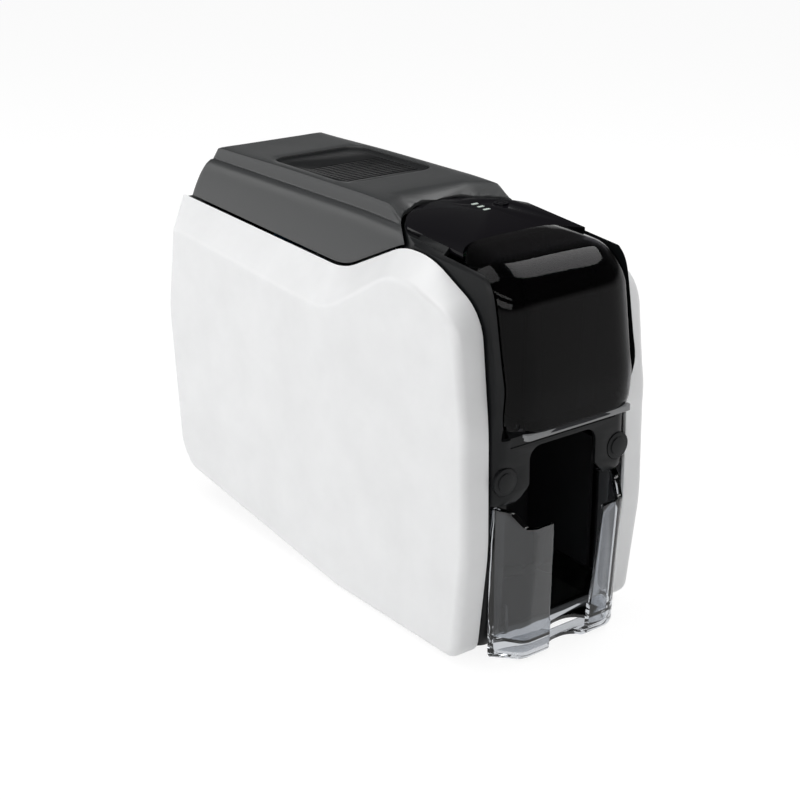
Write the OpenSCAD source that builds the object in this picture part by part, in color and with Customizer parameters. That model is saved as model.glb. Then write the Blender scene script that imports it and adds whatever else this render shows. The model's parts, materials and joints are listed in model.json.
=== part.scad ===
// Desktop ID card printer: two moulded side covers around a narrow black body, with a hinged
// top cover that carries the print head, a clear input door and a clear output bin.
// X runs across the printer, Y from its front (-Y) to its back (+Y), Z up. Millimetres.
// The origin lies under the middle of the printer, on the surface that it stands on.

/* [Body] */
// Overall width, across both side covers
body_w = 154; // [150:1:160]
// Width between the two side cover seams
core_w = 116; // [115:0.5:119]
// Reach of the side covers in front of the middle
cover_front = 170.6; // [169.6:0.2:172]
// Reach of the side covers behind the middle
cover_rear = 192; // [190:0.5:196]
// Height of the side covers at their hump, near the front
hump_z = 256; // [254:0.5:257]
// Height of the side covers at their saddle
saddle_z = 226.5; // [225:0.5:228]
// Height of the side covers at the rear
rear_z = 235.6; // [233:0.2:236.2]
// Wall of the moulded covers
wall = 2.5; // [2:0.1:2.8]
// Height of the rubber feet
foot_h = 4; // [3:0.5:4.5]

/* [Side covers] */
// Drop of the sloped top edge of a side cover, from its seam to its flat
cover_drop = 16; // [12:1:20]
// Radius of the soft edge around the flat of a side cover
cover_soft = 6; // [4:0.5:8]
// Gap between a side cover and the black body beside it
seam_gap = 1.4; // [1:0.1:1.8]

/* [Top cover] */
// Height of the top cover's shoulders
crest_z = 266; // [264:0.5:268]
// Rise of the roof above the shoulders
roof_rise = 9.5; // [7:0.5:11]
// Radius of the arc between the control panel and the top cover
arc_r = 58.6; // [58.2:0.1:59.2]
// Distance of that arc's centre in front of the middle
arc_y = 101.7; // [100:0.5:103]
// Distance of the cover hinge behind the middle
hinge_y = 175; // [174:0.25:176]
// Height of the cover hinge
hinge_z = 238; // [237.5:0.25:238.5]
// Diameter of the cover hinge pins
hinge_d = 6; // [4:0.5:6.5]
// Width of the release button in the roof
button_w = 76; // [72:1:80]
// Length of the release button in the roof
button_l = 94; // [90:1:98]
// Travel of the release button
button_travel = 3; // [2:0.5:3]

/* [Door and bin] */
// Reach of the clear door in front of the middle, at its lower edge
door_front = 187.8; // [186.5:0.2:189]
// Height of the door's lower edge
door_z = 157; // [156:0.25:158]
// Radius of the door's vertical corners
door_r = 12; // [9:0.5:13]
// Wall of the clear mouldings
clear_wall = 2.4; // [2:0.1:2.6]
// Running gap beside the door
door_gap = 0.4; // [0.3:0.05:0.6]
// Reach of the output bin in front of the middle
bin_front = 191; // [190:0.5:194]
// Height of the output bin's side walls, where they meet the body
bin_h = 106; // [102:0.5:108]
// Width of the finger gap in the front of the output bin
finger_gap = 36; // [32:1:40]

/* [Card path] */
// Height of the card path above the table
path_z = 151; // [150.5:0.1:151.5]
// Width of a card
card_w = 54; // [53:0.5:55]
// Length of a card
card_l = 85.6; // [84:0.2:86.4]
// Radius of the driven rollers
roller_r = 8.5; // [7.5:0.25:9]
// Diameter of the roller shafts
shaft_d = 6; // [5:0.25:7]
// Radial running clearance of a shaft in its bush
running = 0.05; // [0.03:0.01:0.09]
// Distance between the two side frames
frame_gap = 72; // [70:0.5:74]
// Thickness of the side frames
frame_t = 1.6; // [1.2:0.1:2]

/* [Drive] */
// Gear module
gear_m = 0.8; // [0.78:0.01:0.82]
// Thickness of the gears
gear_w = 3; // [2:0.25:3.2]
// Radius of the belt pulleys
pulley_r = 7; // [6:0.25:8]
// Width of the belts
belt_w = 2.4; // [2:0.1:2.6]
// Radius of the fresh ribbon on its spool
ribbon_r = 17; // [14:0.5:20]

/* [Hidden] */

// ---- Derived sizes ----
half_w = body_w / 2;
seam_x = core_w / 2;
nose_x = seam_x - seam_gap;
nose_wall = 2.2;
door_x = nose_x - nose_wall - door_gap;
cover_x = seam_x - 0.8;
cover_gap = 1.8;
fit_gap = 0.3;

// Corners of a side cover in side view, as [y, z, radius], clockwise from the lower front:
// at the seam, and at the start of the soft edge
seam_corners = [
    [9.1 - cover_front, foot_h - 1, 12],
    [-cover_front, 80, 200],
    [2.1 - cover_front, 160, 250],
    [10.6 - cover_front, hump_z - 24, 32],
    [-112, hump_z, 60],
    [-84, hump_z, 50],
    [-20, saddle_z, 60],
    [cover_rear - 2.5, rear_z, 5],
    [cover_rear, 150, 200],
    [cover_rear - 12, 40, 30],
    [cover_rear - 27, 24, 20],
    [-30, foot_h - 2.5, 60]
];
flat_corners = [
    [9.1 - cover_front, foot_h - 1, 12],
    [0.4 - cover_front, 80, 200],
    [2.1 - cover_front, 160, 250],
    [12.6 - cover_front, hump_z - 25, 30],
    [-112, hump_z - 10, 56],
    [-88, hump_z - 12, 48],
    [-20, saddle_z - cover_drop - 5, 60],
    [cover_rear - 16, rear_z - cover_drop, 9],
    [cover_rear - 2.6, 150, 200],
    [cover_rear - 13, 40, 30],
    [cover_rear - 27, 24, 20],
    [-30, foot_h - 2.5, 60]
];
arc_steps = 4;

// ---- Helpers: outlines with rounded corners, and skins between rings of points ----
function unit(v) = v / norm(v);
function left_of(v) = [-v[1], v[0]];
function turned(v, a) = [v[0] * cos(a) - v[1] * sin(a), v[0] * sin(a) + v[1] * cos(a)];
function clamp(t) = min(1, max(0, t));
function smooth(t) = let (c = clamp(t)) c * c * (3 - 2 * c);
function smooth_min(a, b, k) =
    let (h = clamp(0.5 + 0.5 * (b - a) / k)) b + (a - b) * h - k * h * (1 - h);

// A rounded corner c between p and q, as [point, left normal] pairs
function corner(p, c, q, n) =
    let (
        a = [p[0], p[1]],
        b = [c[0], c[1]],
        d = [q[0], q[1]],
        u = unit(b - a),
        w = unit(d - b),
        side = sign(cross(u, w)),
        turn = acos(max(-1, min(1, u * w))),
        centre = b - u * c[2] * tan(turn / 2) + left_of(u) * c[2] * side
    )
    [for (k = [0:n])
        let (m = turned(left_of(u), side * turn * k / n))
        [centre - m * side * c[2], m]];

// A clockwise outline with rounded corners, moved inwards by e
function outline(corners, e = 0, n = arc_steps) =
    let (count = len(corners))
    [for (i = [0:count - 1])
        for (f = corner(corners[(i + count - 1) % count], corners[i],
                        corners[(i + 1) % count], n))
            f[0] - f[1] * e];

// A closed surface through rings of points. Rings run on in a loop, but for one place, after
// ring cut, where the two rings are closed off. The rings of a shell run along its outer face
// and back along its inner face, and are closed off in steps between the two
module skin(rings, cut, shell = false) {
    n = len(rings);
    m = len(rings[0]);
    last = cut < 0 ? n - 1 : cut;
    sides = [for (i = [0:n - 1]) if (i != last)
        for (j = [0:m - 1])
            let (
                a = i * m + j,
                b = i * m + (j + 1) % m,
                c = ((i + 1) % n) * m + (j + 1) % m,
                d = ((i + 1) % n) * m + j
            )
            each [[a, b, c], [a, c, d]]];
    first = ((last + 1) % n) * m;
    caps = shell
        ? [for (j = [0:m / 2 - 2])
            let (a = j, b = j + 1, c = m - 2 - j, d = m - 1 - j)
            each [[last * m + a, last * m + b, last * m + c, last * m + d],
                  [first + d, first + c, first + b, first + a]]]
        : [[for (j = [m - 1:-1:0]) first + j], [for (j = [0:m - 1]) last * m + j]];
    polyhedron(points = [for (r = rings) each r], faces = concat(sides, caps));
}

module side_prism(points, x0, x1) {
    translate([x0, 0, 0]) rotate([90, 0, 90]) linear_extrude(x1 - x0) polygon(points);
}

module plan_prism(points, z0, z1) {
    translate([0, 0, z0]) linear_extrude(z1 - z0) polygon(points);
}

module front_prism(points, y0, y1) {
    translate([0, y1, 0]) rotate([90, 0, 0]) linear_extrude(y1 - y0) polygon(points);
}

module block(low, high) {
    translate(low) cube(high - low);
}

module x_rod(r, x0, x1, y, z) {
    translate([x0, y, z]) rotate([0, 90, 0]) cylinder(r = r, h = x1 - x0, $fn = 64);
}

module y_rod(r, y0, y1, x, z) {
    translate([x, y0, z]) rotate([-90, 0, 0]) cylinder(r = r, h = y1 - y0, $fn = 64);
}

module z_rod(r, z0, z1, x, y) {
    translate([x, y, z0]) cylinder(r = r, h = z1 - z0, $fn = 64);
}

module both_sides() {
    children();
    mirror([1, 0, 0]) children();
}

module rounded_slab(half_x, y0, y1, r, z0, z1) {
    plan_prism(outline([[-half_x, y0, r], [-half_x, y1, r], [half_x, y1, r], [half_x, y0, r]],
                       0, 6), z0, z1);
}

// ---- Side covers: dishes whose top edge slopes from the seam down to the flat ----
// Where a side cover is screwed to the frames and the base, in side view
boss_r = 4;
cover_bosses = [[-60, 192], [128, 196], [-78, 24], [120, 29]];

function cover_ring(x, t, e) =
    [for (p = outline(seam_corners + (flat_corners - seam_corners) * t, e)) [x, p[0], p[1]]];

module side_cover() {
    soft_x = half_w - cover_soft;
    steps = [30, 60, 90];
    inner_soft = cover_soft - wall;
    rings = concat(
        [cover_ring(seam_x, 0, 0), cover_ring((seam_x + soft_x) / 2, 0.5, 0),
         cover_ring(soft_x, 1, 0)],
        [for (a = steps) cover_ring(soft_x + cover_soft * sin(a), 1, cover_soft * (1 - cos(a)))],
        [for (a = [90, 45]) cover_ring(soft_x + inner_soft * sin(a), 1,
                                      wall + inner_soft * (1 - cos(a)))],
        [cover_ring(soft_x, 1, wall), cover_ring(seam_x, 0, wall)]
    );
    skin(rings, 5);
    for (p = cover_bosses) x_rod(boss_r, seam_x, half_w - wall / 2, p[0], p[1]);
}

module right_cover() {
    color("#f4f5f6") side_cover();
}

module left_cover() {
    color("#f4f5f6") mirror([1, 0, 0]) side_cover();
}

// ---- Base and rear panel ----
base_h = 36;
base_top = foot_h + wall;
base_front = -92;
base_rear = [[base_front, foot_h, 3], [base_front, base_h, 3], [cover_rear - 14, base_h, 3],
             [cover_rear - 26, 22, 14], [128, foot_h, 30]];

module base_tray() {
    color("#25272a") {
        difference() {
            side_prism(outline(base_rear), -seam_x, seam_x);
            side_prism(outline(base_rear, wall), wall - seam_x, seam_x - wall);
            block([wall - seam_x, base_front + wall, base_h - wall - 1],
                  [seam_x - wall, cover_rear, base_h + 1]);
        }
        rounded_slab(nose_x - nose_wall - fit_gap, -155.2, base_front + 1, 8, foot_h, base_top);
    }
}

foot_x = 44;
module rubber_feet() {
    color("#1b1b1d") both_sides() for (y = [-138, 112])
        translate([foot_x, y, 0]) {
            cylinder(r = 8, h = foot_h - 1, $fn = 48);
            translate([0, 0, foot_h - 1]) cylinder(r = 9.5, h = 1, $fn = 48);
        }
}

panel_x = seam_x - 0.5;
port_x = 47.2;
port_half = 7.5;
port_h = [[76, 12], [97, 13], [122, 17]];
fan_x = -18;
fan_z = 180;
fan_r = 18.8;
fan_size = 40;
arm_swing_r = 6.2;
rim_y = cover_rear - 32;
fan_y = cover_rear - 21;
port_y = cover_rear - 26;
beyond = cover_rear + 8;

module rear_panel() {
    ear = 4;
    color("#232528") difference() {
        union() {
            intersection() {
                side_prism(concat(outline(seam_corners, 1.5)), -panel_x, panel_x);
                block([-panel_x, rim_y, base_h + fit_gap], [panel_x, cover_rear, 300]);
            }
        }
        intersection() {
            side_prism(outline(seam_corners, 1.5 + wall), wall - panel_x, panel_x - wall);
            block([-panel_x, rim_y - 10, 0], [panel_x, cover_rear, 300]);
        }
        for (p = port_h) block([port_x - port_half - 0.1, port_y - 1, p[0] - p[1] / 2],
                               [port_x + port_half + 0.1, beyond, p[0] + p[1] / 2]);
        for (k = [-3:3]) let (s = sqrt(fan_r * fan_r - 25 * k * k))
            block([fan_x - s, fan_y + 11, fan_z + 5 * k - 1.5],
                  [fan_x + s, beyond, fan_z + 5 * k + 1.5]);
        for (k = [0:9]) block([-44, fan_y, 60 + 8 * k], [-16, beyond, 63 + 8 * k]);
        // Room for the arms of the top cover to turn
        both_sides() x_rod(arm_swing_r, hinge_arm_x - 0.4, hinge_arm_x + hinge_arm_w + 0.4,
                           hinge_y, hinge_z);
    }
    // Hinge ears, in pairs about each arm of the top cover
    color("#232528") both_sides() for (x = [hinge_arm_x - ear - 0.4, hinge_arm_x + hinge_arm_w + 0.4])
        difference() {
            union() {
                x_rod(hinge_d / 2 + 2, x, x + ear, hinge_y, hinge_z);
                block([x, hinge_y - 5, rear_z - 4.5], [x + ear, hinge_y + 5, hinge_z]);
            }
            x_rod(hinge_d / 2 + running, x - 1, x + ear + 1, hinge_y, hinge_z);
        }
}

// ---- Nose: a lofted shell around the door bay, the card slot and the output bin's bay ----
// Reach of the nose in front of the middle, by height, as [z, reach, corner radius]
bin_top = bin_h + 3;
nose_levels = [
    [foot_h + 1, 158, 10], [20, 163, 10], [60, 165.5, 10], [bin_top, 165.5, 10],
    [bin_top + 2, 172.5, 10], [140, 172.5, 10], [door_z, 173.5, 10], [172, 178, 9],
    [186, 180, 8], [202, 177, 8], [218, 174, 8], [236, 170.5, 8], [246, 167.5, 8],
    [252, 163, 8], [257, 155.5, 8], [260, 146, 8], [263, 130, 8], [268, 112, 8]
];
nose_back = -92;
panel_r = arc_r - 3;
panel_rear_z = crest_z + 2.4;
panel_front_z = crest_z - 4;
panel_half = 50;
panel_t = 3;
panel_front = -117.6;
deck_t = 2.4;

function nose_ring(level, e, back) =
    let (w = nose_x - e, r = max(0.5, level[2] - e), f = e - level[1])
    [for (p = outline([[-w, f, r], [-w, back, 0.4], [w, back, 0.4], [w, f, r]]))
        [p[0], p[1], level[0]]];

panel_slope = (panel_rear_z - panel_front_z) / (panel_r - arc_y - panel_front);
function panel_z(y) = panel_front_z + panel_slope * (y - panel_front);

// A slab that follows the slope of the panel, from low to high below or above its top face
module panel_layer(low, high) {
    a = -200;
    b = 0;
    side_prism([[a, panel_z(a) + low], [a, panel_z(a) + high],
                [b, panel_z(b) + high], [b, panel_z(b) + low]], -90, 90);
}

// The plan of the control panel, or of its deck: square in front, and a large arc behind
module panel_plan(radius, half_x, front, z0, z1) {
    translate([0, 0, z0]) linear_extrude(z1 - z0) intersection() {
        union() {
            translate([0, -arc_y]) circle(r = radius, $fn = 160);
            translate([-half_x, front]) square([2 * half_x, -arc_y - front]);
        }
        translate([-half_x, front]) square([2 * half_x, 200]);
    }
}

// The door seen from the front, as half widths by height
door_turn_h = 29;
door_narrow = 8.6;
function door_half(z) =
    let (t = clamp((z - door_z) / door_turn_h))
    door_x - door_narrow * (1 - sqrt(1 - (1 - t) * (1 - t)));
door_rises = [0, 2, 5, 10, 17, 29];
function door_front_view(gap) = concat(
    [for (k = [5:-1:0]) [-door_half(door_z + door_rises[k]) - gap, door_z + door_rises[k]]],
    [for (k = [0:5]) [door_half(door_z + door_rises[k]) + gap, door_z + door_rises[k]]],
    [[door_x + gap, 300], [-door_x - gap, 300]]);

door_hinge_y = -178;
door_hinge_z = door_z + 7;
door_pin_r = 2;
door_swing_r = 13;
door_ear_x = 39.6;
ear_w = 2.8;
ear_gap = 0.4;
bay_x = 40;
bay_top = 143;
bay_neck = card_w / 2 + 1;
bay_neck_z = 118;
bay_floor = 13;
bay_front = -150;
slot_x = 44;
cap_x = nose_x - 9;
cap_z = 125;
cap_r = 9;
cap_seat = -171;

// A hinge ear about the door's axis, reaching back to the nose
module door_ear(x, y) {
    x_rod(door_pin_r + 1.8, x, x + ear_w, door_hinge_y, door_hinge_z);
    block([x, min(y, door_hinge_y), door_hinge_z - 2.8],
          [x + ear_w, max(y, door_hinge_y), door_hinge_z + 2.8]);
}

module front_shell() {
    color("#34373a") difference() {
        union() {
            difference() {
                skin([for (l = nose_levels) nose_ring(l, 0, nose_back)], -1);
                translate([0, 0, -2])
                    skin([for (l = nose_levels) nose_ring(l, nose_wall, 0)], -1);
                // The door bay, as wide as the door and a running gap
                for (drop = [0, 1.8]) translate([0, 0, -drop])
                    front_prism(door_front_view(door_gap), -220, panel_front + 0.6);
                // The output bin's bay, and the recess of the card slot
                front_prism(outline([[-bay_x, bay_floor, 0.5], [-bay_x, bay_neck_z - 12, 3],
                                     [-bay_neck, bay_neck_z, 3], [-bay_neck, bay_top, 9],
                                     [bay_neck, bay_top, 9], [bay_neck, bay_neck_z, 3],
                                     [bay_x, bay_neck_z - 12, 3], [bay_x, bay_floor, 0.5]]),
                            -220, bay_front);
                block([-slot_x, -220, bay_top + 3], [slot_x, bay_front, door_z + 8]);
                // Room for the door's lower edge to swing down
                x_rod(door_swing_r, -51, 51, door_hinge_y, door_hinge_z);
            }
            // Seats of the door hinge, beside the card slot
            both_sides() {
                block([slot_x, -165, bay_top + 3], [nose_x - 1, -158, door_z + 12]);
                door_ear(door_ear_x + ear_w + ear_gap, -160);
            }
            // The deck that the control panel lies on, and the wall below its arc
            intersection() {
                panel_plan(panel_r + 0.8, nose_x, panel_front + 0.6, 200, 300);
                panel_layer(-panel_t - deck_t, -panel_t);
            }
            difference() {
                panel_plan(panel_r + 0.8, nose_x, nose_back - 1, saddle_z, panel_front_z);
                panel_plan(panel_r + 0.8 - deck_t, nose_x - nose_wall, nose_back - 30, 200, 300);
            }
        }
        panel_layer(-panel_t, 90);
        both_sides() x_rod(door_pin_r + running, door_ear_x - 1, door_ear_x + 2 * ear_w + 1,
                           door_hinge_y, door_hinge_z);
        both_sides() y_rod(cap_r + 0.1, -190, cap_seat, cap_x, cap_z);
        z_rod(button_r + 0.3, 240, 320, button_x, button_y);
    }
}

// ---- Control panel ----
button_x = 33;
button_y = -70;
button_r = 5;
light_x = 14;
light_w = 5;
light_l = 2;
light_y = [-64, -70, -76];
board_top = panel_z(-100) - panel_t - 9;
board_t = 1.6;

module light_bar(k, e, low, high) {
    intersection() {
        block([light_x - e, light_y[k] - e, 200], [light_x + light_w + e, light_y[k] + light_l + e, 300]);
        panel_layer(low, high);
    }
}

module control_panel() {
    color("#17161b") difference() {
        intersection() {
            panel_plan(panel_r, panel_half, panel_front + 0.6, 200, 300);
            panel_layer(-panel_t, 0);
        }
        z_rod(button_r + fit_gap, 240, 320, button_x, button_y);
        for (k = [0:2]) light_bar(k, 0.1, -panel_t - 1, 1);
    }
}

module status_lights() {
    color("#cfe8d0") for (k = [0:2]) light_bar(k, 0, -panel_t, 0.2);
}

button_rise = 0.6;
module power_button() {
    color("#202026") difference() {
        z_rod(button_r, board_top + 2.6, panel_z(button_y) + button_rise, button_x, button_y);
        translate([0, 0, panel_z(button_y) + button_rise]) difference() {
            z_rod(3, -0.4, 1, button_x, button_y);
            z_rod(2.3, -1, 2, button_x, button_y);
        }
    }
}

module panel_board() {
    color("#1f5a3a") {
        block([-30, -108, board_top - board_t], [38, -66, board_top]);
        block([button_x - 3, button_y - 3, board_top], [button_x + 3, button_y + 3, board_top + 1.5]);
        for (p = [[-26, -104], [-26, -70], [20, -104], [20, -70]])
            z_rod(2.2, board_top, panel_z(p[1]) - panel_t - deck_t - 0.2, p[0], p[1]);
    }
}

module side_caps() {
    color("#2d3033") both_sides() {
        y_rod(cap_r, -173.2, cap_seat, cap_x, cap_z);
        y_rod(cap_r - 3, -174, -173.2, cap_x, cap_z);
    }
}

// ---- Input hopper, card slot and output chute ----
hopper_in = card_w / 2 + 0.6;
hopper_out = hopper_in + 2.5;
hopper_rear = -78;
hopper_front = hopper_rear - card_l - 0.6;
hopper_top = 246;
hopper_floor_t = 2.4;
pick_y = -105;
post_in = 14;

// The space inside the closed door, lowered by e, in side view
function door_space(e) = [
    [-door_front + e, 0], [-door_front + e, door_z], [-173.5 + e, 232 - e], [-166 + e, 249 - e],
    [-150, 258 - e], [-117, 260 - e], [0, 260 - e], [0, 0]
];

module input_hopper() {
    color("#2a2c2f") intersection() {
        difference() {
            block([-hopper_out, hopper_front - 2.5, path_z - hopper_floor_t],
                  [hopper_out, hopper_rear + 2.5, hopper_top]);
            block([-hopper_in, hopper_front, path_z], [hopper_in, hopper_rear, hopper_top + 1]);
            // Card gates at the lower front and rear, the thumb slot and the roller's window
            block([-hopper_in, -200, path_z], [hopper_in, 0, path_z + 5.6]);
            front_prism(outline([[-post_in, path_z, 0.1], [-post_in - 4, hopper_top + 9, 0.1],
                                 [post_in + 4, hopper_top + 9, 0.1], [post_in, path_z, 0.1]]),
                        -200, hopper_front + 1);
            block([-27, pick_y - roller_r - 2, 0], [27, pick_y + roller_r + 2, path_z + 1]);
        }
        side_prism(door_space(clear_wall + 3), -80, 80);
    }
}

module slot_bezel() {
    color("#4a4d50") difference() {
        block([-slot_x + 0.2, -172, bay_top + 3.2], [slot_x - 0.2, hopper_front - 2.8, door_z + 2]);
        block([-hopper_in - 1, -180, path_z - 0.4], [hopper_in + 1, -150, path_z + 5.6]);
        x_rod(door_swing_r, -60, 60, door_hinge_y, door_hinge_z);
    }
}

chute_x = bay_x + 2.4;
chute_rear = -97;
module output_chute() {
    color("#1d1e20") {
        difference() {
            block([-chute_x, -157.4, bay_floor - 2.4], [chute_x, chute_rear + 2.4, 128]);
            block([-bay_x, -170, bay_floor], [bay_x, chute_rear, 140]);
            block([-bay_x, -170, 104], [bay_x, 0, 140]);
        }
        // The ramp that the cards slide down
        side_prism([[chute_rear, 101.6], [chute_rear, 104], [-74, 136], [-71.6, 136],
                    [chute_rear + 2.4, 101.6]], -hopper_in - 1, hopper_in + 1);
    }
}

// ---- Output bin: tapered, open at the back and above, with a finger gap in front ----
bin_lean = 7;
bin_back = -166;
bin_side = 53.4;
bin_front_side = 39;
bin_low = foot_h - 3;
bin_rim_drop = 10;
tongue_x = bay_x - 1;
tongue_z = bay_floor + 0.4;

module bin_form(e) {
    hull() for (h = [[bin_low + e, bin_lean + 3, 5], [bin_low + 6 + e / 2, bin_lean - 1, 0],
                     [bin_h, 0, 0], [bin_h + 4 * e, 0, 0]])
        translate([0, 0, h[0]]) linear_extrude(0.01) polygon(outline([
            [h[2] / 2 + e - bin_side, bin_back + 0.01 + 2 * e, 0.1],
            [bin_side - h[2] / 2 - e, bin_back + 0.01 + 2 * e, 0.1],
            [bin_front_side - h[2] / 2 - e, h[1] + e - bin_front, 10],
            [h[2] / 2 + e - bin_front_side, h[1] + e - bin_front, 10]
        ], 0, 5));
}

module output_bin() {
    color("#7c8084") difference() {
        union() {
            difference() {
                bin_form(0);
                bin_form(clear_wall);
                // The rim falls towards the front
                side_prism([[-bin_front - 5, bin_h - bin_rim_drop],
                            [5 - bin_front, bin_h - bin_rim_drop],
                            [15 - bin_front, bin_h - 0.6], [bin_back + 5, bin_h],
                            [bin_back + 5, bin_h + 50], [-bin_front - 5, bin_h + 50]], -90, 90);
                // Open at the back, where it meets the bay
                block([-bay_x, bin_back - 3, tongue_z], [bay_x, 0, 200]);
            }
            // The floor that the cards land on
            intersection() {
                bin_form(clear_wall / 2);
                block([-90, -220, tongue_z], [90, bin_back + 0.02, tongue_z + clear_wall]);
            }
            block([-tongue_x, bin_back - 4, tongue_z], [tongue_x, -112, tongue_z + clear_wall]);
            both_sides() block([tongue_x - clear_wall, bin_back - 1, tongue_z],
                               [tongue_x, -112, tongue_z + 22]);
        }
        // The finger gap, from top to bottom, with its round end and its flared sides
        front_prism([[-finger_gap / 2, bin_low + 24], [-finger_gap / 2 - 4, bin_h + 1],
                     [finger_gap / 2 + 4, bin_h + 1], [finger_gap / 2, bin_low + 24]], -220, -178);
        plan_prism(outline([[-finger_gap / 2, -220, 1], [-finger_gap / 2, -174, 16],
                            [finger_gap / 2, -174, 16], [finger_gap / 2, -220, 1]], 0, 6), -5, 200);
    }
}

// ---- Door: a clear visor, swept along its side profile ----
door_path = [[-door_front, door_z], [-185.4, 181, 150], [-172.4, 258.4, 34], [-110, 264]];
door_skirt = 3;
door_lip_h = 3.6;
function door_frames() = concat(
    [for (h = [0, 2, 5, 10, 17])
        let (c = corner(door_path[0], door_path[1], door_path[2], 1)[0],
             t = h / (c[0][1] - door_z),
             a = door_path[0])
        [a + (c[0] - a) * t, c[1]]],
    corner(door_path[0], door_path[1], door_path[2], 3),
    corner(door_path[1], door_path[2], door_path[3], 7),
    [[door_path[3], left_of(unit(door_path[3] - [door_path[2][0], door_path[2][1]]))]]);

// One half of the door's section, as [half width, drop below the front], outside edge first
function door_half_section(w, e, depth) =
    let (r = door_r - e, a_list = [0, 30, 60, 90], flat = w - door_r)
    concat(
        [[w - e, depth]],
        [for (a = a_list) [flat + r * cos(a), door_r - r * sin(a) + 1.2 * (flat + r * cos(a)) / w]],
        [[flat / 2, e + 0.3]]);

function door_ring(f) =
    let (
        w = door_half(f[0][1]),
        depth = door_r + 1.2 + door_skirt,
        half_out = door_half_section(w, 0, depth),
        half_in = door_half_section(w, clear_wall, depth),
        pts = concat(
            [for (p = half_out) p], [[0, 0]],
            [for (k = [len(half_out) - 1:-1:0]) [-half_out[k][0], half_out[k][1]]],
            [for (p = half_in) [-p[0], p[1]]], [[0, clear_wall]],
            [for (k = [len(half_in) - 1:-1:0]) half_in[k]])
    )
    [for (p = pts) [p[0], f[0][0] - f[1][0] * p[1], f[0][1] - f[1][1] * p[1]]];

module input_door() {
    color("#4c5054") {
        intersection() {
            skin([for (f = door_frames()) door_ring(f)], -1, true);
            plan_prism(outline([[-door_x - 1, -240, 1], [-door_x - 1, panel_front - 1, 24],
                                [door_x + 1, panel_front - 1, 24], [door_x + 1, -240, 1]], 0, 6),
                       100, 300);
            // Cut back at the lower corners, and round the hinge ears
            difference() {
                union() {
                    block([-80, -240, 100], [80, 4.4 - door_front, 300]);
                    block([-80, -240, door_z + 3.6], [80, 0, 300]);
                }
                both_sides() x_rod(door_pin_r + 2.2, door_ear_x + ear_w, door_ear_x + 2 * ear_w + 0.8,
                                   door_hinge_y, door_hinge_z);
            }
        }
        // The thick grip along the lower edge
        difference() {
            plan_prism(outline([[-44, 0.4 - door_front, 3], [-44, 5 - door_front, 0.5],
                                [44, 5 - door_front, 0.5], [44, 0.4 - door_front, 3]]),
                       door_z - 1.6, door_z + door_lip_h - 1.6);
            block([-60, 3.6 - door_front, 0], [60, -100, door_z]);
        }
    }
}

module door_hinges() {
    color("#25272a") both_sides() difference() {
        union() {
            x_rod(door_pin_r + 1.8, door_ear_x, door_ear_x + ear_w, door_hinge_y, door_hinge_z);
            block([door_ear_x, clear_wall + 2.6 - door_front, door_hinge_z - 2.5],
                  [door_ear_x + ear_w, door_hinge_y, door_hinge_z + 2.5]);
        }
        x_rod(door_pin_r + running, door_ear_x - 1, door_ear_x + ear_w + 1,
              door_hinge_y, door_hinge_z);
    }
}

module door_hinge_pins() {
    color("#b9bcc0") both_sides() x_rod(door_pin_r, door_ear_x - 0.2, door_ear_x + 2 * ear_w + 1,
                                        door_hinge_y, door_hinge_z);
}

// ---- Side frames, bushes and rollers ----
frame_x = frame_gap / 2;
frame_out = frame_x + frame_t;
shaft_r = shaft_d / 2;
roller_z = path_z - roller_r;
card_t = 0.8;
idler_r = 7;
idler_pin_r = 2.5;
idler_z = path_z + card_t + idler_r;
feed_y = -62;
platen_y = 40;
exit_y = 110;
driven_y = [pick_y, feed_y, platen_y, exit_y];
idler_y = [feed_y, exit_y];
gear_teeth = 60;
pinion_teeth = 15;
gear_r = gear_m * gear_teeth / 2;
gear_dist = gear_m * (gear_teeth + pinion_teeth) / 2;
spool_z = 203;
supply_y = 100;
takeup_y = -26;
journal_r = 4;
lane_a = frame_out + 1;
lane_g = lane_a + 3.4;
lane_b = lane_g + gear_w + 0.6;
shaft_end = lane_b + belt_w + 0.6;
board_x = frame_out + 7;

frame_foot_end = 117;
frame_corners = [
    [-88, base_top, 1], [-88, 126, 4], [-119, 128, 6], [-119, 178, 10], [-70, 218, 14],
    [146, 218, 12], [150, 33, 3], [frame_foot_end, base_top, 1]
];

module frame_plate(side) {
    // side is 1 on the right and -1 on the left
    x0 = side > 0 ? frame_x : -frame_out;
    x1 = side > 0 ? frame_out : -frame_x;
    difference() {
        union() {
            side_prism(outline(frame_corners), x0, x1);
            // Foot flange
            if (side > 0) block([frame_x, -88, base_top], [frame_x + 12, frame_foot_end, base_top + frame_t]);
            else block([-frame_x - 12, -88, base_top], [-frame_x, frame_foot_end, base_top + frame_t]);
        }
        for (w = [[-66, 18, 26, 106], [64, 134, 26, 126], [66, 92, 132, 184], [0, 30, 166, 204]])
            side_prism(outline([[w[0], w[2], 8], [w[0], w[3], 8], [w[1], w[3], 8], [w[1], w[2], 8]]),
                       x0 - 1, x1 + 1);
        for (y = driven_y) x_rod(shaft_r + 2.5, x0 - 1, x1 + 1, y, roller_z);
        for (y = idler_y) x_rod(idler_pin_r + running, x0 - 1, x1 + 1, y, idler_z);
        for (y = [supply_y, takeup_y]) x_rod(journal_r + running, x0 - 1, x1 + 1, y, spool_z);
        if (side < 0) x_rod(9, x0 - 1, x1 + 1, platen_y, roller_z - gear_dist);
        else x_rod(8, x0 - 1, x1 + 1, takeup_y, spool_z - gear_dist);
    }
}

// Posts that carry the side covers
module cover_posts(side) {
    for (k = [0, 1]) let (p = cover_bosses[k])
        if (side > 0) x_rod(boss_r, frame_out, seam_x, p[0], p[1]);
        else x_rod(boss_r, -seam_x, -frame_out, p[0], p[1]);
}

module left_frame() {
    color("#aeb2b6") {
        frame_plate(-1);
        cover_posts(-1);
    }
}

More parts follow.
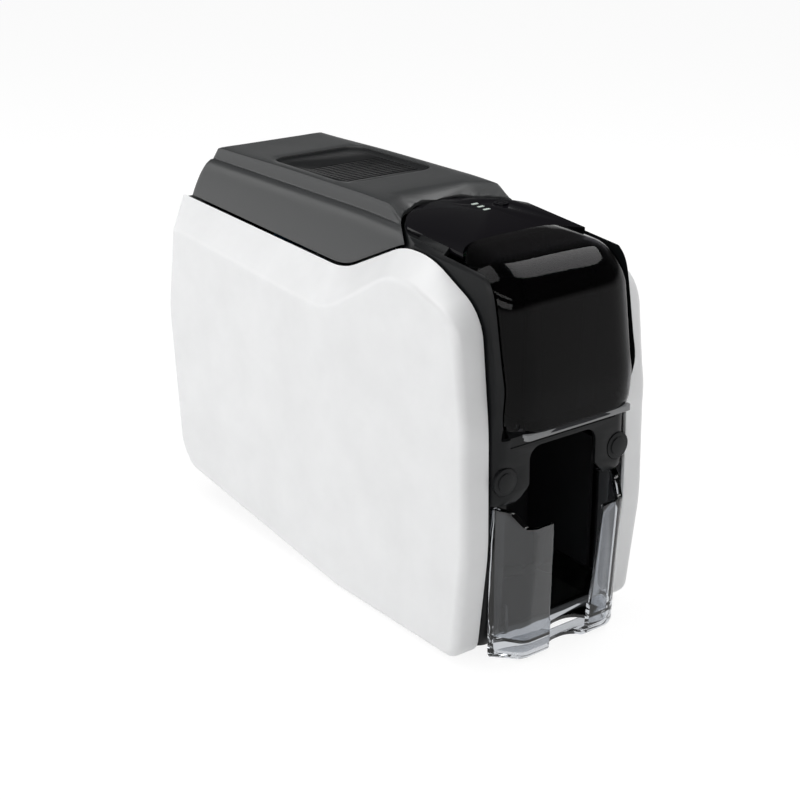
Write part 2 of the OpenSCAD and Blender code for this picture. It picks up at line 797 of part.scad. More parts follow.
module right_frame() {
    color("#aeb2b6") {
        frame_plate(1);
        cover_posts(1);
        // Standoffs of the main board
        for (p = board_holes) x_rod(3, frame_out, board_x, p[0], p[1]);
    }
}

module roller_bushes() {
    color("#e8e2d0") both_sides() for (y = driven_y) difference() {
        union() {
            x_rod(shaft_r + 2.5, frame_x - 1.2, frame_out + 0.4, y, roller_z);
            x_rod(shaft_r + 4, frame_x - 1.2, frame_x, y, roller_z);
        }
        x_rod(shaft_r + running, frame_x - 2, frame_out + 1, y, roller_z);
    }
}

module roller(y, half_l) {
    difference() {
        x_rod(roller_r, -half_l, half_l, y, roller_z);
        x_rod(shaft_r, -half_l - 1, half_l + 1, y, roller_z);
    }
}

// A shaft with its pulleys on the left, in lane A and, where asked, in lane B
module drive_shaft(y, second) {
    end = second ? shaft_end : lane_a + belt_w + 1;
    x_rod(shaft_r, -end, frame_out + 2, y, roller_z);
    x_rod(pulley_r, -lane_a - belt_w - 0.4, -lane_a + 0.4, y, roller_z);
    if (second) x_rod(pulley_r, -lane_b - belt_w - 0.4, -lane_b + 0.2, y, roller_z);
}

module pick_roller() { color("#3a3d42") roller(pick_y, 24); }
module feed_roller() { color("#3a3d42") roller(feed_y, 29); }
module platen_roller() { color("#3a3d42") roller(platen_y, 30); }
module exit_roller() { color("#3a3d42") roller(exit_y, 29); }
module pick_shaft() { color("#c4c8cc") drive_shaft(pick_y, false); }
module feed_shaft() { color("#c4c8cc") drive_shaft(feed_y, true); }
module platen_shaft() { color("#c4c8cc") drive_shaft(platen_y, true); }
module exit_shaft() { color("#c4c8cc") drive_shaft(exit_y, false); }

module idler(y) {
    x_rod(idler_r, -28, 28, y, idler_z);
    x_rod(idler_pin_r, -frame_out - 1.5, frame_out + 1.5, y, idler_z);
}

module cleaning_roller() { color("#4d7fa8") idler(feed_y); }
module pinch_roller() { color("#8d9196") idler(exit_y); }

module belt_loop(y0, y1, x) {
    translate([x, 0, roller_z]) rotate([90, 0, 90]) linear_extrude(belt_w) difference() {
        belt_outline(y0, y1, pulley_r + fit_gap + 1.2);
        belt_outline(y0, y1, pulley_r + fit_gap);
    }
}

module belt_outline(y0, y1, r) {
    translate([y0, -r]) square([y1 - y0, 2 * r]);
    for (y = [y0, y1]) translate([y, 0]) circle(r = r, $fn = 64);
}

module timing_belts() {
    color("#1a1a1c") {
        belt_loop(pick_y, feed_y, -lane_a - belt_w - 0.2);
        belt_loop(platen_y, exit_y, -lane_a - belt_w - 0.2);
        belt_loop(feed_y, platen_y, -lane_b - belt_w - 0.2);
    }
}

// ---- Gears: involute flanks from three points each ----
pressure_angle = 20;
backlash = 0.16;
function involute(a) = tan(a) * 180 / PI - a;
function tooth_half(radius, r, z) =
    let (a = acos(min(1, r * cos(pressure_angle) / radius)))
    90 / z - backlash / 4 / r * 180 / PI + involute(pressure_angle) - involute(a);
function gear_points(z) =
    let (r = gear_m * z / 2, root = r - 1.2 * gear_m, tip = r + 0.9 * gear_m,
         radii = [root, (root + tip) / 2, tip])
    [for (k = [0:z - 1])
        let (c = k * 360 / z)
        each concat(
            [for (i = [0:2]) let (a = c - tooth_half(radii[i], r, z)) radii[i] * [cos(a), sin(a)]],
            [for (i = [2:-1:0]) let (a = c + tooth_half(radii[i], r, z)) radii[i] * [cos(a), sin(a)]]
        )];

module gear(z, x, y, h, turn) {
    translate([x, y, h]) rotate([90, 0, 90]) rotate(turn) linear_extrude(gear_w)
        polygon(gear_points(z));
}

module spoked_gear(x, y, h, bore) {
    difference() {
        gear(gear_teeth, x, y, h, -90);
        x_rod(bore, x - 1, x + gear_w + 1, y, h);
        for (k = [0:4]) translate([x - 1, y, h]) rotate([72 * k + 36, 0, 0]) translate([0, 0, 14])
            rotate([0, 90, 0]) cylinder(r = 4.5, h = gear_w + 2, $fn = 32);
    }
}

module platen_gear() {
    color("#ece9e0") spoked_gear(-lane_g - gear_w, platen_y, roller_z, shaft_r);
}

module takeup_gear() {
    color("#ece9e0") spoked_gear(frame_out + 1, takeup_y, spool_z, journal_r);
}

pinion_turn = 90 - 180 / pinion_teeth;
motor_shaft_r = 2.5;
module motor_pinion() {
    z = roller_z - gear_dist;
    color("#d6b45a") {
        gear(pinion_teeth, -lane_g - gear_w, platen_y, z, pinion_turn);
        x_rod(motor_shaft_r, -lane_g - gear_w / 2, -frame_x + 20, platen_y, z);
    }
}

module ribbon_pinion() {
    z = spool_z - gear_dist;
    color("#d6b45a") {
        gear(pinion_teeth, frame_out + 1, takeup_y, z, pinion_turn);
        x_rod(motor_shaft_r, frame_x - 20, frame_out + 1 + gear_w / 2, takeup_y, z);
    }
}

module feed_motor() {
    z = roller_z - gear_dist;
    half = 17.5;
    color("#5c6066") difference() {
        union() {
            translate([-frame_x, 0, 0]) side_prism(outline([
                [platen_y - half, z - half, 4], [platen_y - half, z + half, 4],
                [platen_y + half, z + half, 4], [platen_y + half, z - half, 4]]), 0, 30);
            x_rod(8.9, -frame_out, -frame_x, platen_y, z);
        }
        x_rod(motor_shaft_r + running, -frame_out - 1, -frame_x + 20.5, platen_y, z);
    }
}

module ribbon_motor() {
    z = spool_z - gear_dist;
    color("#5c6066") difference() {
        union() {
            x_rod(11.5, frame_x - 26, frame_x, takeup_y, z);
            x_rod(7.9, frame_x, frame_out, takeup_y, z);
        }
        x_rod(motor_shaft_r + running, frame_x - 20.5, frame_out + 1, takeup_y, z);
    }
}

// ---- Ribbon ----
core_r = 9;
takeup_r = 12;
film_half = 28;
module spool(y, r) {
    x_rod(r, -film_half, film_half, y, spool_z);
    x_rod(core_r, -frame_x + 1, frame_x - 1, y, spool_z);
}

module supply_spool() {
    color("#23425c") {
        spool(supply_y, ribbon_r);
        x_rod(journal_r, -frame_out - 1, frame_out + 1, supply_y, spool_z);
    }
}

module takeup_spool() {
    color("#8c3f55") {
        spool(takeup_y, takeup_r);
        x_rod(journal_r, -frame_out - 1, frame_out + 1.5 + gear_w, takeup_y, spool_z);
    }
}

head_tip_z = path_z + card_t + 1.2;
film_t = 0.4;
module ribbon_film() {
    s = spool_z - ribbon_r - 0.5;
    t = spool_z - takeup_r - 0.5;
    z = head_tip_z - 0.3;
    color("#2c6f8f") side_prism([
        [supply_y, s], [platen_y + 16, z + 1], [platen_y + 6, z], [platen_y - 6, z],
        [platen_y - 16, z + 1], [takeup_y, t], [takeup_y, t - film_t],
        [platen_y - 16, z + 1 - film_t], [platen_y - 6, z - film_t], [platen_y + 6, z - film_t],
        [platen_y + 16, z + 1 - film_t], [supply_y, s - film_t]
    ], -film_half, film_half);
}

module card_tray() {
    tray_t = 2;
    z = path_z - 0.4;
    color("#303236") difference() {
        union() {
            block([-frame_x, hopper_rear + 3, z - tray_t], [frame_x, 148, z]);
            both_sides() block([card_w / 2 + 0.8, hopper_rear + 3, z - tray_t],
                               [frame_x, 148, z + 2]);
        }
        for (y = [feed_y, platen_y, exit_y])
            block([-31, y - roller_r - 1.5, 0], [31, y + roller_r + 1.5, 200]);
        both_sides() for (y = [feed_y, platen_y, exit_y])
            x_rod(shaft_r + 4.3, 20, 60, y, roller_z);
        both_sides() for (y = idler_y) x_rod(idler_pin_r + 0.5, 20, 60, y, idler_z);
    }
}

// ---- Fan, main board and sockets ----
fan_t = 10;
fan_pin_r = 1.6;
module fan_housing() {
    half = fan_size / 2;
    color("#1c1d1f") {
        difference() {
            front_prism(outline([
                [fan_x - half, fan_z - half, 3], [fan_x - half, fan_z + half, 3],
                [fan_x + half, fan_z + half, 3], [fan_x + half, fan_z - half, 3]]),
                fan_y, fan_y + fan_t);
            y_rod(fan_r, fan_y - 1, fan_y + fan_t + 1, fan_x, fan_z);
        }
        for (a = [0, 120, 240]) translate([fan_x, fan_y + fan_t - 1.6, fan_z]) rotate([0, a + 30, 0])
            block([-1.5, 0, 0], [1.5, 1.6, fan_r + 0.5]);
        y_rod(7, fan_y + fan_t - 1.6, fan_y + fan_t, fan_x, fan_z);
        y_rod(fan_pin_r, fan_y + 1, fan_y + fan_t - 1, fan_x, fan_z);
        // Posts to the rear panel
        for (dx = [-16.5, 16.5]) for (dz = [-16.5, 16.5])
            y_rod(2.4, fan_y + fan_t, fan_post_end(fan_z + dz), fan_x + dx, fan_z + dz);
    }
}

// Inner face of the rear panel at a height, between its corners
function rear_inner(z) = cover_rear - 1.5 - wall - (z < 150 ? (150 - z) * 12 / 110
                                                           : (z - 150) * 2.5 / (rear_z - 150));
function fan_post_end(z) = rear_inner(z) - 0.6;

module fan_rotor() {
    color("#232427") difference() {
        union() {
            y_rod(8, fan_y + 0.4, fan_y + fan_t - 2, fan_x, fan_z);
            for (k = [0:6]) translate([fan_x, fan_y + 1, fan_z]) rotate([0, k * 360 / 7, 0])
                rotate([0, 0, 0]) translate([0, 0, 7]) rotate([0, 0, 32])
                    block([-4.2, 0, 0], [4.2, 1.4, fan_r - 7 - 1.2]);
        }
        y_rod(fan_pin_r + running, fan_y, fan_y + fan_t, fan_x, fan_z);
    }
}

board_holes = [[30, 66], [150, 66], [30, 136], [150, 136]];
module main_board() {
    color("#1f5a3a") {
        difference() {
            block([board_x, 22, 58], [board_x + board_t, 168, 144]);
            for (p = board_holes) x_rod(1.6, board_x - 1, board_x + 3, p[0], p[1]);
        }
        for (p = [[50, 80, 22, 16], [96, 110, 18, 18], [60, 116, 14, 20], [120, 76, 12, 12]])
            block([board_x + board_t, p[0], p[1]],
                  [board_x + board_t + 2.2, p[0] + p[2], p[1] + p[3]]);
    }
}

module port_body(k, half_z) {
    z = port_h[k][0];
    block([port_x - port_half, port_y - 12, z - half_z],
          [port_x + port_half, rear_inner(z) + 1.4, z + half_z]);
}

module port_on_board() {
    difference() {
        children();
        block([board_x - 5, 0, 0], [board_x + board_t, port_y + 2.2, 300]);
    }
}

module power_jack() {
    z = port_h[0][0];
    y = rear_inner(z) + 1.4;
    color("#161618") {
        difference() {
            port_on_board() port_body(0, 5.6);
            y_rod(3.4, y - 10, y + 1, port_x, z);
        }
        y_rod(1, y - 10.5, y - 1, port_x, z);
    }
}

module usb_port() {
    z = port_h[1][0];
    y = rear_inner(z) + 1.4;
    color("#c9ccd0") {
        difference() {
            port_on_board() port_body(1, 6);
            block([port_x - 4.5, y - 9, z - 4.2], [port_x + 4.5, y + 1, z + 4.2]);
        }
        block([port_x - 2.8, y - 9.5, z - 1.5], [port_x + 2.8, y - 1.5, z + 1.5]);
    }
}

module ethernet_port() {
    z = port_h[2][0];
    y = rear_inner(z) + 1.4;
    color("#c9ccd0") difference() {
        port_on_board() port_body(2, 8);
        block([port_x - 5.9, y - 11, z - 4.5], [port_x + 5.9, y + 1, z + 3.5]);
        block([port_x - 3, y - 11, z - 6.5], [port_x + 3, y + 1, z]);
    }
}

// ---- Top cover: a moulded shell, lofted from back to front ----
hinge_arm_x = 42;
hinge_arm_w = 4;
roof_end = 178;
roof_steps = [-91, -84, -76, -68, -60, -52, -44, -36, -28, -20, -10, 20, 80, 138, 146, 152, 157,
              161, 164, 168, 173, 178];
// Half of the roof's section: [distance in from the side, height from the crest, share of rise]
roof_section = [
    [0, -46, 0], [0, -30, 0], [0.8, -19, 0], [2.4, -9.5, 0], [4.8, -3.2, 0], [7.2, -0.6, 0],
    [8.8, 0, 0], [9.9, -0.5, 0.05], [10.9, 0, 0.4], [12.1, 0, 0.85], [13.8, 0, 1], [30, 0, 1]
];
// Way from each of those points to the inner face, as shares of the wall
roof_inward = [
    [1, 0], [1, 0], [0.96, 0.12], [0.88, 0.4], [0.68, 0.72], [0.44, 0.9], [0.12, 1],
    [0.3, 0.95], [0.88, 0.48], [0.8, 0.64], [0.48, 1], [0, 1]
];
function crest(y) = crest_z - 2 * smooth((-20 - y) / 68);
function rise(x, y) =
    let (d = norm([x, y + arc_y]) - arc_r)
    roof_rise * smooth((d + 8) / 22) * (1 - 0.12 * smooth((y - 60) / 90));
function rear_slope(y, e) = rear_z - 2.6 + (roof_end - y) * 1.93 - e * 2.17;
function roof_point(i, y, e) =
    let (
        s = roof_section[i],
        x = cover_x - s[0],
        q = [x, crest(y) + s[1] + s[2] * rise(x, y)] - roof_inward[i] * e
    )
    [q[0], y, i == 0 ? saddle_z - 8 : smooth_min(q[1], rear_slope(y, e), 5)];

function roof_ring(y) =
    let (
        out = [for (i = [0:11]) roof_point(i, y, 0)],
        top = [0, y, smooth_min(crest(y) + rise(0, y), rear_slope(y, 0), 5)],
        inn = [for (i = [0:11]) roof_point(i, y, wall)],
        low = [0, y, smooth_min(crest(y) + rise(0, y) - wall, rear_slope(y, wall), 5)]
    )
    concat(out, [top], [for (k = [11:-1:0]) [-out[k][0], out[k][1], out[k][2]]],
           [for (p = inn) [-p[0], p[1], p[2]]], [low], [for (k = [11:-1:0]) inn[k]]);

button_gap = 0.6;
button_front = 4;
module top_cover() {
    color("#5b5f62") difference() {
        skin([for (y = roof_steps) roof_ring(y)], -1, true);
        // The arc beside the control panel
        z_rod(arc_r, 200, 300, 0, -arc_y);
        // The gap above the side covers and the nose
        side_prism(concat(outline(seam_corners, -cover_gap)), -90, 90);
        // The well of the release button
        rounded_slab(button_w / 2 + button_gap, button_front - button_gap,
                     button_front + button_l + button_gap, 14, 260, 300);
        // Notches of the hinge
        both_sides() block([hinge_arm_x - 6, 164, 200], [hinge_arm_x + hinge_arm_w + 6, 190, 247]);
    }
}

plate_z = crest_z - 4.4;
plate_t = 2.4;
plate_x = cover_x - 9.4;
latch_y = -8;
latch_z = plate_z - 6;
module cover_frame() {
    color("#2b2d30") {
        difference() {
            rounded_slab(plate_x, -24, 148, 6, plate_z - plate_t, plate_z);
            // Button stem, latch and head
            for (p = button_stems) z_rod(3.4, 200, 300, p[0], p[1]);
            block([-9, latch_y - 6, 200], [9, latch_y + 6, 300]);
        }
        both_sides() {
            difference() {
                union() {
                    side_prism([[120, plate_z - plate_t], [124, plate_z - 12], [156, 246],
                                [170, 234.5], [hinge_y, hinge_z - 5], [hinge_y + 3, hinge_z + 3],
                                [hinge_y - 9, hinge_z + 9], [148, plate_z], [144, plate_z]],
                               hinge_arm_x, hinge_arm_x + hinge_arm_w);
                    x_rod(hinge_d / 2 + 2, hinge_arm_x, hinge_arm_x + hinge_arm_w, hinge_y, hinge_z);
                }
                x_rod(hinge_d / 2 + running, hinge_arm_x - 1, hinge_arm_x + hinge_arm_w + 1,
                      hinge_y, hinge_z);
            }
            // Ears of the latch pivot
            difference() {
                block([9.4, latch_y - 4, latch_z - 4], [12.4, latch_y + 4, plate_z - plate_t]);
                x_rod(1.5 + running, 8, 14, latch_y, latch_z);
            }
        }
    }
}

button_stems = [[-28, 20], [28, 20], [-28, 86], [28, 86]];
module cover_hinge_pins() {
    color("#b9bcc0") both_sides()
        x_rod(hinge_d / 2, hinge_arm_x - 4.6, hinge_arm_x + hinge_arm_w + 4.6, hinge_y, hinge_z);
}

button_top = crest_z + roof_rise - 1.6;
module release_button() {
    color("#3a3d40") {
        difference() {
            rounded_slab(button_w / 2, button_front, button_front + button_l, 13.4,
                         button_top - 2.4, button_top);
            // Fine ribs across the grip
            for (k = [0:11]) block([-30, 14 + 4 * k, button_top - 0.6],
                                   [30, 15.6 + 4 * k, button_top + 1]);
        }
        for (p = button_stems) z_rod(3, plate_z - plate_t, button_top - 2.4, p[0], p[1]);
        block([-6, latch_y + 9, plate_z + button_travel + 0.4], [6, 12, button_top - 2.4]);
    }
}

latch_len = 30;
module cover_latch() {
    color("#3d4043") {
        block([-8.6, latch_y - 3, latch_z - latch_len], [8.6, latch_y, latch_z + 2]);
        x_rod(4, -8.6, 8.6, latch_y, latch_z);
        x_rod(1.5, -12.8, 12.8, latch_y, latch_z);
        block([-6, latch_y - 4.4, latch_z - latch_len], [6, latch_y, latch_z - latch_len + 4]);
    }
}

module printhead_bracket() {
    color("#9ea3a8") {
        block([-31, platen_y + 9.4, head_tip_z + 12], [31, platen_y + 11, plate_z - plate_t]);
        both_sides() block([29.4, platen_y - 12, head_tip_z + 12],
                           [31, platen_y + 9.4, head_tip_z + 40]);
        block([-31, platen_y - 4, plate_z - plate_t - 1.6], [31, platen_y + 9.4, plate_z - plate_t]);
    }
}

module printhead() {
    color("#70757a") {
        difference() {
            block([-29.2, platen_y - 11, head_tip_z + 4], [29.2, platen_y + 9.2, head_tip_z + 26]);
            for (k = [0:4]) block([-30, platen_y - 12, head_tip_z + 10 + 3 * k],
                                  [30, platen_y - 2, head_tip_z + 11.6 + 3 * k]);
        }
        side_prism([[platen_y - 9, head_tip_z + 4], [platen_y - 1.5, head_tip_z],
                    [platen_y + 1.5, head_tip_z], [platen_y + 9, head_tip_z + 4]], -28, 28);
    }
}

// ---- Fasteners ----
module housing_screws() {
    color("#8f9397") {
        // Frames to base
        both_sides() for (y = [-76, 40, 108])
            z_rod(3, base_top + frame_t, base_top + frame_t + 2, frame_x + 7, y);
        // Main board to its standoffs
        for (p = board_holes) difference() {
            x_rod(2.8, board_x + board_t, board_x + board_t + 1.8, p[0], p[1]);
            x_rod(1, board_x + board_t + 0.6, board_x + board_t + 3, p[0], p[1]);
        }
    }
}

base_tray();
rubber_feet();
left_cover();
right_cover();
rear_panel();
front_shell();
control_panel();
panel_board();
power_button();
status_lights();
side_caps();
input_hopper();
slot_bezel();
output_chute();
output_bin();
input_door();
door_hinges();
door_hinge_pins();
left_frame();
right_frame();
card_tray();
roller_bushes();
pick_roller();
pick_shaft();
feed_roller();
feed_shaft();
platen_roller();
platen_shaft();
platen_gear();
exit_roller();
exit_shaft();
cleaning_roller();
pinch_roller();
timing_belts();
feed_motor();
motor_pinion();
ribbon_motor();
ribbon_pinion();
supply_spool();
takeup_spool();
takeup_gear();
ribbon_film();
fan_housing();
fan_rotor();
main_board();
power_jack();
usb_port();
ethernet_port();
top_cover();
cover_frame();
cover_hinge_pins();
release_button();
cover_latch();
printhead();
printhead_bracket();
housing_screws();
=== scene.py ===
"""Looks of the desktop ID card printer: its mouldings, clear parts, finishes and studio.

The outer mouldings follow the same named sizes as the solids that they stand for, with finer
curves. Lengths are millimetres in the code and metres in the scene. X runs across the printer,
Y from its front (-Y) to its back (+Y), Z up.
"""
import json
import math

import bmesh
import bpy
from bpy.props import FloatProperty, FloatVectorProperty, PointerProperty
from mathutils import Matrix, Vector


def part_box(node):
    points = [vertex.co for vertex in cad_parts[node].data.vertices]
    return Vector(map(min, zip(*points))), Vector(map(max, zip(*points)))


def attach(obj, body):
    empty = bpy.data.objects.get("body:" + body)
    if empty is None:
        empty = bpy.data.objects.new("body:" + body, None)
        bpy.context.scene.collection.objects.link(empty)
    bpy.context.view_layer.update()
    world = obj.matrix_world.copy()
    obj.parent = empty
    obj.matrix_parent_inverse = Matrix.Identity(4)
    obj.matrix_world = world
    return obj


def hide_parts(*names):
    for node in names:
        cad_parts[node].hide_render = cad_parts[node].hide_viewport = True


bl_info = {
    "name": "ID Card Printer Mouldings",
    "version": (1, 0, 0),
    "blender": (4, 5, 0),
    "location": "View3D > Sidebar > Card Printer",
    "description": "Builds the outer mouldings and finishes of a desktop ID card printer",
    "category": "Object",
}

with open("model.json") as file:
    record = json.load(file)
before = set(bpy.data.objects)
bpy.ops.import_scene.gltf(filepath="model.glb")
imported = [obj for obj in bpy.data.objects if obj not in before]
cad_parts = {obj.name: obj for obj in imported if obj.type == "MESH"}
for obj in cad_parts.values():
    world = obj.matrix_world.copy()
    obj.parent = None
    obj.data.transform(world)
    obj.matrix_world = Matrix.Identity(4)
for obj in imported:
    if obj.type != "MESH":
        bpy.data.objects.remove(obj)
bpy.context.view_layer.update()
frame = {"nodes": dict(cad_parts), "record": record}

MM = 0.001
ARC_STEPS = 9


def cad_size(node, corner, axis):
    """One side of a CAD node's box, in millimetres."""
    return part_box(node)[corner][axis] / MM


# ---- Sizes and colours that a user would change ----
class CardPrinterShape(bpy.types.PropertyGroup):
    """Sizes of the outer mouldings."""

    body_width: FloatProperty(
        name="Body width", description="Overall width, across both side covers",
        default=cad_size("right_cover", 1, 0) * 2 * MM, unit="LENGTH", precision=4)
    core_width: FloatProperty(
        name="Core width", description="Width between the two side cover seams",
        default=0.116, unit="LENGTH", precision=4)
    soft_edge: FloatProperty(
        name="Soft edge", description="Radius of the soft edge around a side cover's flat",
        default=0.006, unit="LENGTH", precision=4)
    moulding_wall: FloatProperty(
        name="Moulding wall", description="Wall of the moulded covers",
        default=0.0025, unit="LENGTH", precision=4)
    clear_wall: FloatProperty(
        name="Clear wall", description="Wall of the door and the output bin",
        default=0.0024, unit="LENGTH", precision=4)
    door_reach: FloatProperty(
        name="Door reach", description="Reach of the door in front of the middle",
        default=0.1878, unit="LENGTH", precision=4)
    bin_reach: FloatProperty(
        name="Bin reach", description="Reach of the output bin in front of the middle",
        default=-cad_size("output_bin", 0, 1) * MM, unit="LENGTH", precision=4)


class CardPrinterFinish(bpy.types.PropertyGroup):
    """Colours and surface finish of the printer."""

    side_colour: FloatVectorProperty(
        name="Side covers", description="Colour of the side covers", subtype="COLOR",
        size=3, min=0, max=1, default=(0.86, 0.865, 0.87))
    roof_colour: FloatVectorProperty(
        name="Roof", description="Colour of the top cover", subtype="COLOR",
        size=3, min=0, max=1, default=(0.036, 0.038, 0.039))
    nose_colour: FloatVectorProperty(
        name="Nose", description="Colour of the body around the door", subtype="COLOR",
        size=3, min=0, max=1, default=(0.0085, 0.0092, 0.0100))
    panel_colour: FloatVectorProperty(
        name="Control panel", description="Colour of the gloss control panel", subtype="COLOR",
        size=3, min=0, max=1, default=(0.0045, 0.0040, 0.0055))
    smoke_colour: FloatVectorProperty(
        name="Smoked clear", description="Tint of the door", subtype="COLOR",
        size=3, min=0, max=1, default=(0.05, 0.05, 0.055))
    bin_colour: FloatVectorProperty(
        name="Bin", description="Tint of the output bin", subtype="COLOR",
        size=3, min=0, max=1, default=(0.60, 0.62, 0.65))
    wear: FloatProperty(
        name="Wear", description="Strength of the rubbed edges", subtype="FACTOR",
        default=0.35, min=0, max=1)


def shape():
    return bpy.context.scene.card_printer_shape


def finish():
    return bpy.context.scene.card_printer_finish


# ---- Outlines with rounded corners, the same as in the part's source ----
def corner_arc(before, corner, after, radius, steps):
    """Points of a rounded corner with their left normals."""
    a, b, c = Vector(before), Vector(corner), Vector(after)
    u, w = (b - a).normalized(), (c - b).normalized()
    side = 1 if u.x * w.y - u.y * w.x > 0 else -1
    turn = math.acos(max(-1, min(1, u.dot(w))))
    left = Vector((-u.y, u.x))
    centre = b - u * radius * math.tan(turn / 2) + left * radius * side
    arc = []
    for k in range(steps + 1):
        angle = side * turn * k / steps
        normal = Vector((left.x * math.cos(angle) - left.y * math.sin(angle),
                         left.x * math.sin(angle) + left.y * math.cos(angle)))
        arc.append((centre - normal * side * radius, normal))
    return arc


def outline(corners, inset=0, steps=ARC_STEPS):
    """A clockwise outline from (x, y, radius) corners, moved inwards by inset."""
    count = len(corners)
    points = []
    for i, (x, y, radius) in enumerate(corners):
        before, after = corners[i - 1][:2], corners[(i + 1) % count][:2]
        points += [p - n * inset for p, n in corner_arc(before, (x, y), after, radius, steps)]
    return points


def blend_rows(rows, steps):
    """Rows of numbers with smooth rows put between them (a Catmull-Rom run)."""
    out = []
    for i in range(len(rows) - 1):
        p0, p1 = rows[max(i - 1, 0)], rows[i]
        p2, p3 = rows[i + 1], rows[min(i + 2, len(rows) - 1)]
        for k in range(steps):
            t = k / steps
            out.append([0.5 * (2 * b + (c - a) * t + (2 * a - 5 * b + 4 * c - d) * t * t
                               + (3 * b - a - 3 * c + d) * t ** 3)
                        for a, b, c, d in zip(p0, p1, p2, p3)])
    out.append(list(rows[-1]))
    return out


def smooth(t):
    """From 0 to 1 with a level start and end."""
    t = min(1, max(0, t))
    return t * t * (3 - 2 * t)


def smooth_min(a, b, k):
    """The lower of two values, blended over a width of k where they meet."""
    h = min(1, max(0, 0.5 + 0.5 * (b - a) / k))
    return b + (a - b) * h - k * h * (1 - h)


# ---- Meshes ----
def mesh_object(name, vertices, faces):
    """A closed mesh object from millimetres, with its normals outwards."""
    mesh = bpy.data.meshes.new(name)
    mesh.from_pydata([Vector(v) * MM for v in vertices], [], faces)
    bm = bmesh.new()
    bm.from_mesh(mesh)
    bmesh.ops.remove_doubles(bm, verts=bm.verts, dist=1e-6)
    bmesh.ops.recalc_face_normals(bm, faces=bm.faces)
    bm.to_mesh(mesh)
    bm.free()
    obj = bpy.data.objects.new(name, mesh)
    bpy.context.scene.collection.objects.link(obj)
    return obj


def bands(rings, starts):
    """Faces from each ring in starts to the next ring, the last one joining to the first."""
    count, size = len(rings), len(rings[0])
    faces = []
    for i in starts:
        here, there = i * size, (i + 1) % count * size
        faces += [(here + j, here + (j + 1) % size, there + (j + 1) % size, there + j)
                  for j in range(size)]
    return faces


def loft(name, rings, strip_caps=False):
    """A surface through rings of points, with a cap on each end.

    A thin shell's ring runs along its outside and back along its inside. Its caps are
    strips between the two, since one wide face would fold over itself.
    """
    count, size = len(rings), len(rings[0])
    faces = bands(rings, range(count - 1))
    for base in (0, (count - 1) * size):
        if strip_caps:
            faces += [(base + j, base + j + 1, base + size - 2 - j, base + size - 1 - j)
                      for j in range(size // 2 - 1)]
        else:
            faces.append([base + j for j in range(size)])
    return mesh_object(name, [p for ring in rings for p in ring], faces)


def prism(name, points, low, high, axis):
    """A straight prism of 2D points along an axis: X takes (y, z), Y (x, z) and Z (x, y)."""
    place = {"X": lambda p, t: (t, p[0], p[1]), "Y": lambda p, t: (p[0], t, p[1]),
             "Z": lambda p, t: (p[0], p[1], t)}[axis]
    return loft(name, [[place(p, low) for p in points], [place(p, high) for p in points]])


def block(name, low, high):
    return prism(name, [(low[0], low[1]), (low[0], high[1]), (high[0], high[1]),
                        (high[0], low[1])], low[2], high[2], "Z")


def block_on_side(name, side, near, far, low, high):
    """A block between two distances from the middle, on one side of it; low, high are (y, z)."""
    return block(name, (min(side * near, side * far), *low), (max(side * near, side * far), *high))


def circle(x, y, radius, steps=64):
    return [(x + radius * math.cos(2 * math.pi * k / steps),
             y + radius * math.sin(2 * math.pi * k / steps)) for k in range(steps)]


def rounded_box(x0, y0, x1, y1, radius, steps=ARC_STEPS):
    return outline([(x0, y0, radius), (x0, y1, radius), (x1, y1, radius), (x1, y0, radius)],
                   0, steps)


def apply_modifiers(obj):
    evaluated = obj.evaluated_get(bpy.context.evaluated_depsgraph_get())
    mesh = bpy.data.meshes.new_from_object(evaluated)
    obj.modifiers.clear()
    obj.data = mesh
    return obj


def combine(obj, others, operation="DIFFERENCE"):
    """Cuts other solids from a piece, or joins them to it, and removes them."""
    for other in others:
        modifier = obj.modifiers.new("cut", "BOOLEAN")
        modifier.operation = operation
        modifier.solver = "MANIFOLD"
        modifier.object = other
        apply_modifiers(obj)
        bpy.data.objects.remove(other)
    return obj


def round_edges(obj, width, angle=35, segments=3):
    """Rounds the sharp edges of a piece as its mould would."""
    bm = bmesh.new()
    bm.from_mesh(obj.data)
    bmesh.ops.remove_doubles(bm, verts=bm.verts, dist=2e-6)
    bmesh.ops.dissolve_degenerate(bm, edges=bm.edges, dist=2e-6)
    bm.to_mesh(obj.data)
    bm.free()
    bevel = obj.modifiers.new("rounded edges", "BEVEL")
    bevel.width = width * MM
    bevel.segments = segments
    bevel.limit_method = "ANGLE"
    bevel.angle_limit = math.radians(angle)
    bevel.harden_normals = False
    return apply_modifiers(obj)


def smooth_shading(obj, angle=32):
    mesh = obj.data
    mesh.polygons.foreach_set("use_smooth", [True] * len(mesh.polygons))
    mesh.set_sharp_from_angle(angle=math.radians(angle))


def dress(obj, finish_name, body, *nodes, angle=32, look=None):
    """Gives a piece the material of its finish, or of its look where one is given, attaches it to
    its body and hides the CAD nodes that it stands for.
    """
    smooth_shading(obj, angle)
    obj.data.materials.clear()
    obj.data.materials.append(material(look or finish_name))
    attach(obj, body)
    if nodes:
        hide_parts(*nodes)
    return obj


# ---- Shared effects, as node groups ----
def new_group(name, inputs, outputs):
    """A shader node group with float inputs (name, default) and named outputs."""
    group = bpy.data.node_groups.new(name, "ShaderNodeTree")
    for label, default in inputs:
        socket = group.interface.new_socket(name=label, in_out="INPUT",
                                            socket_type="NodeSocketFloat")
        socket.default_value = default
    for label, kind in outputs:
        group.interface.new_socket(name=label, in_out="OUTPUT", socket_type=kind)
    return group, group.nodes.new("NodeGroupInput"), group.nodes.new("NodeGroupOutput")


def math_node(tree, operation, first, second=None, clamp=False):
    node = tree.nodes.new("ShaderNodeMath")
    node.operation = operation
    node.use_clamp = clamp
    for socket, value in zip(node.inputs, (first, second)):
        if isinstance(value, (int, float)):
            socket.default_value = value
        elif value is not None:
            tree.links.new(value, socket)
    return node.outputs[0]


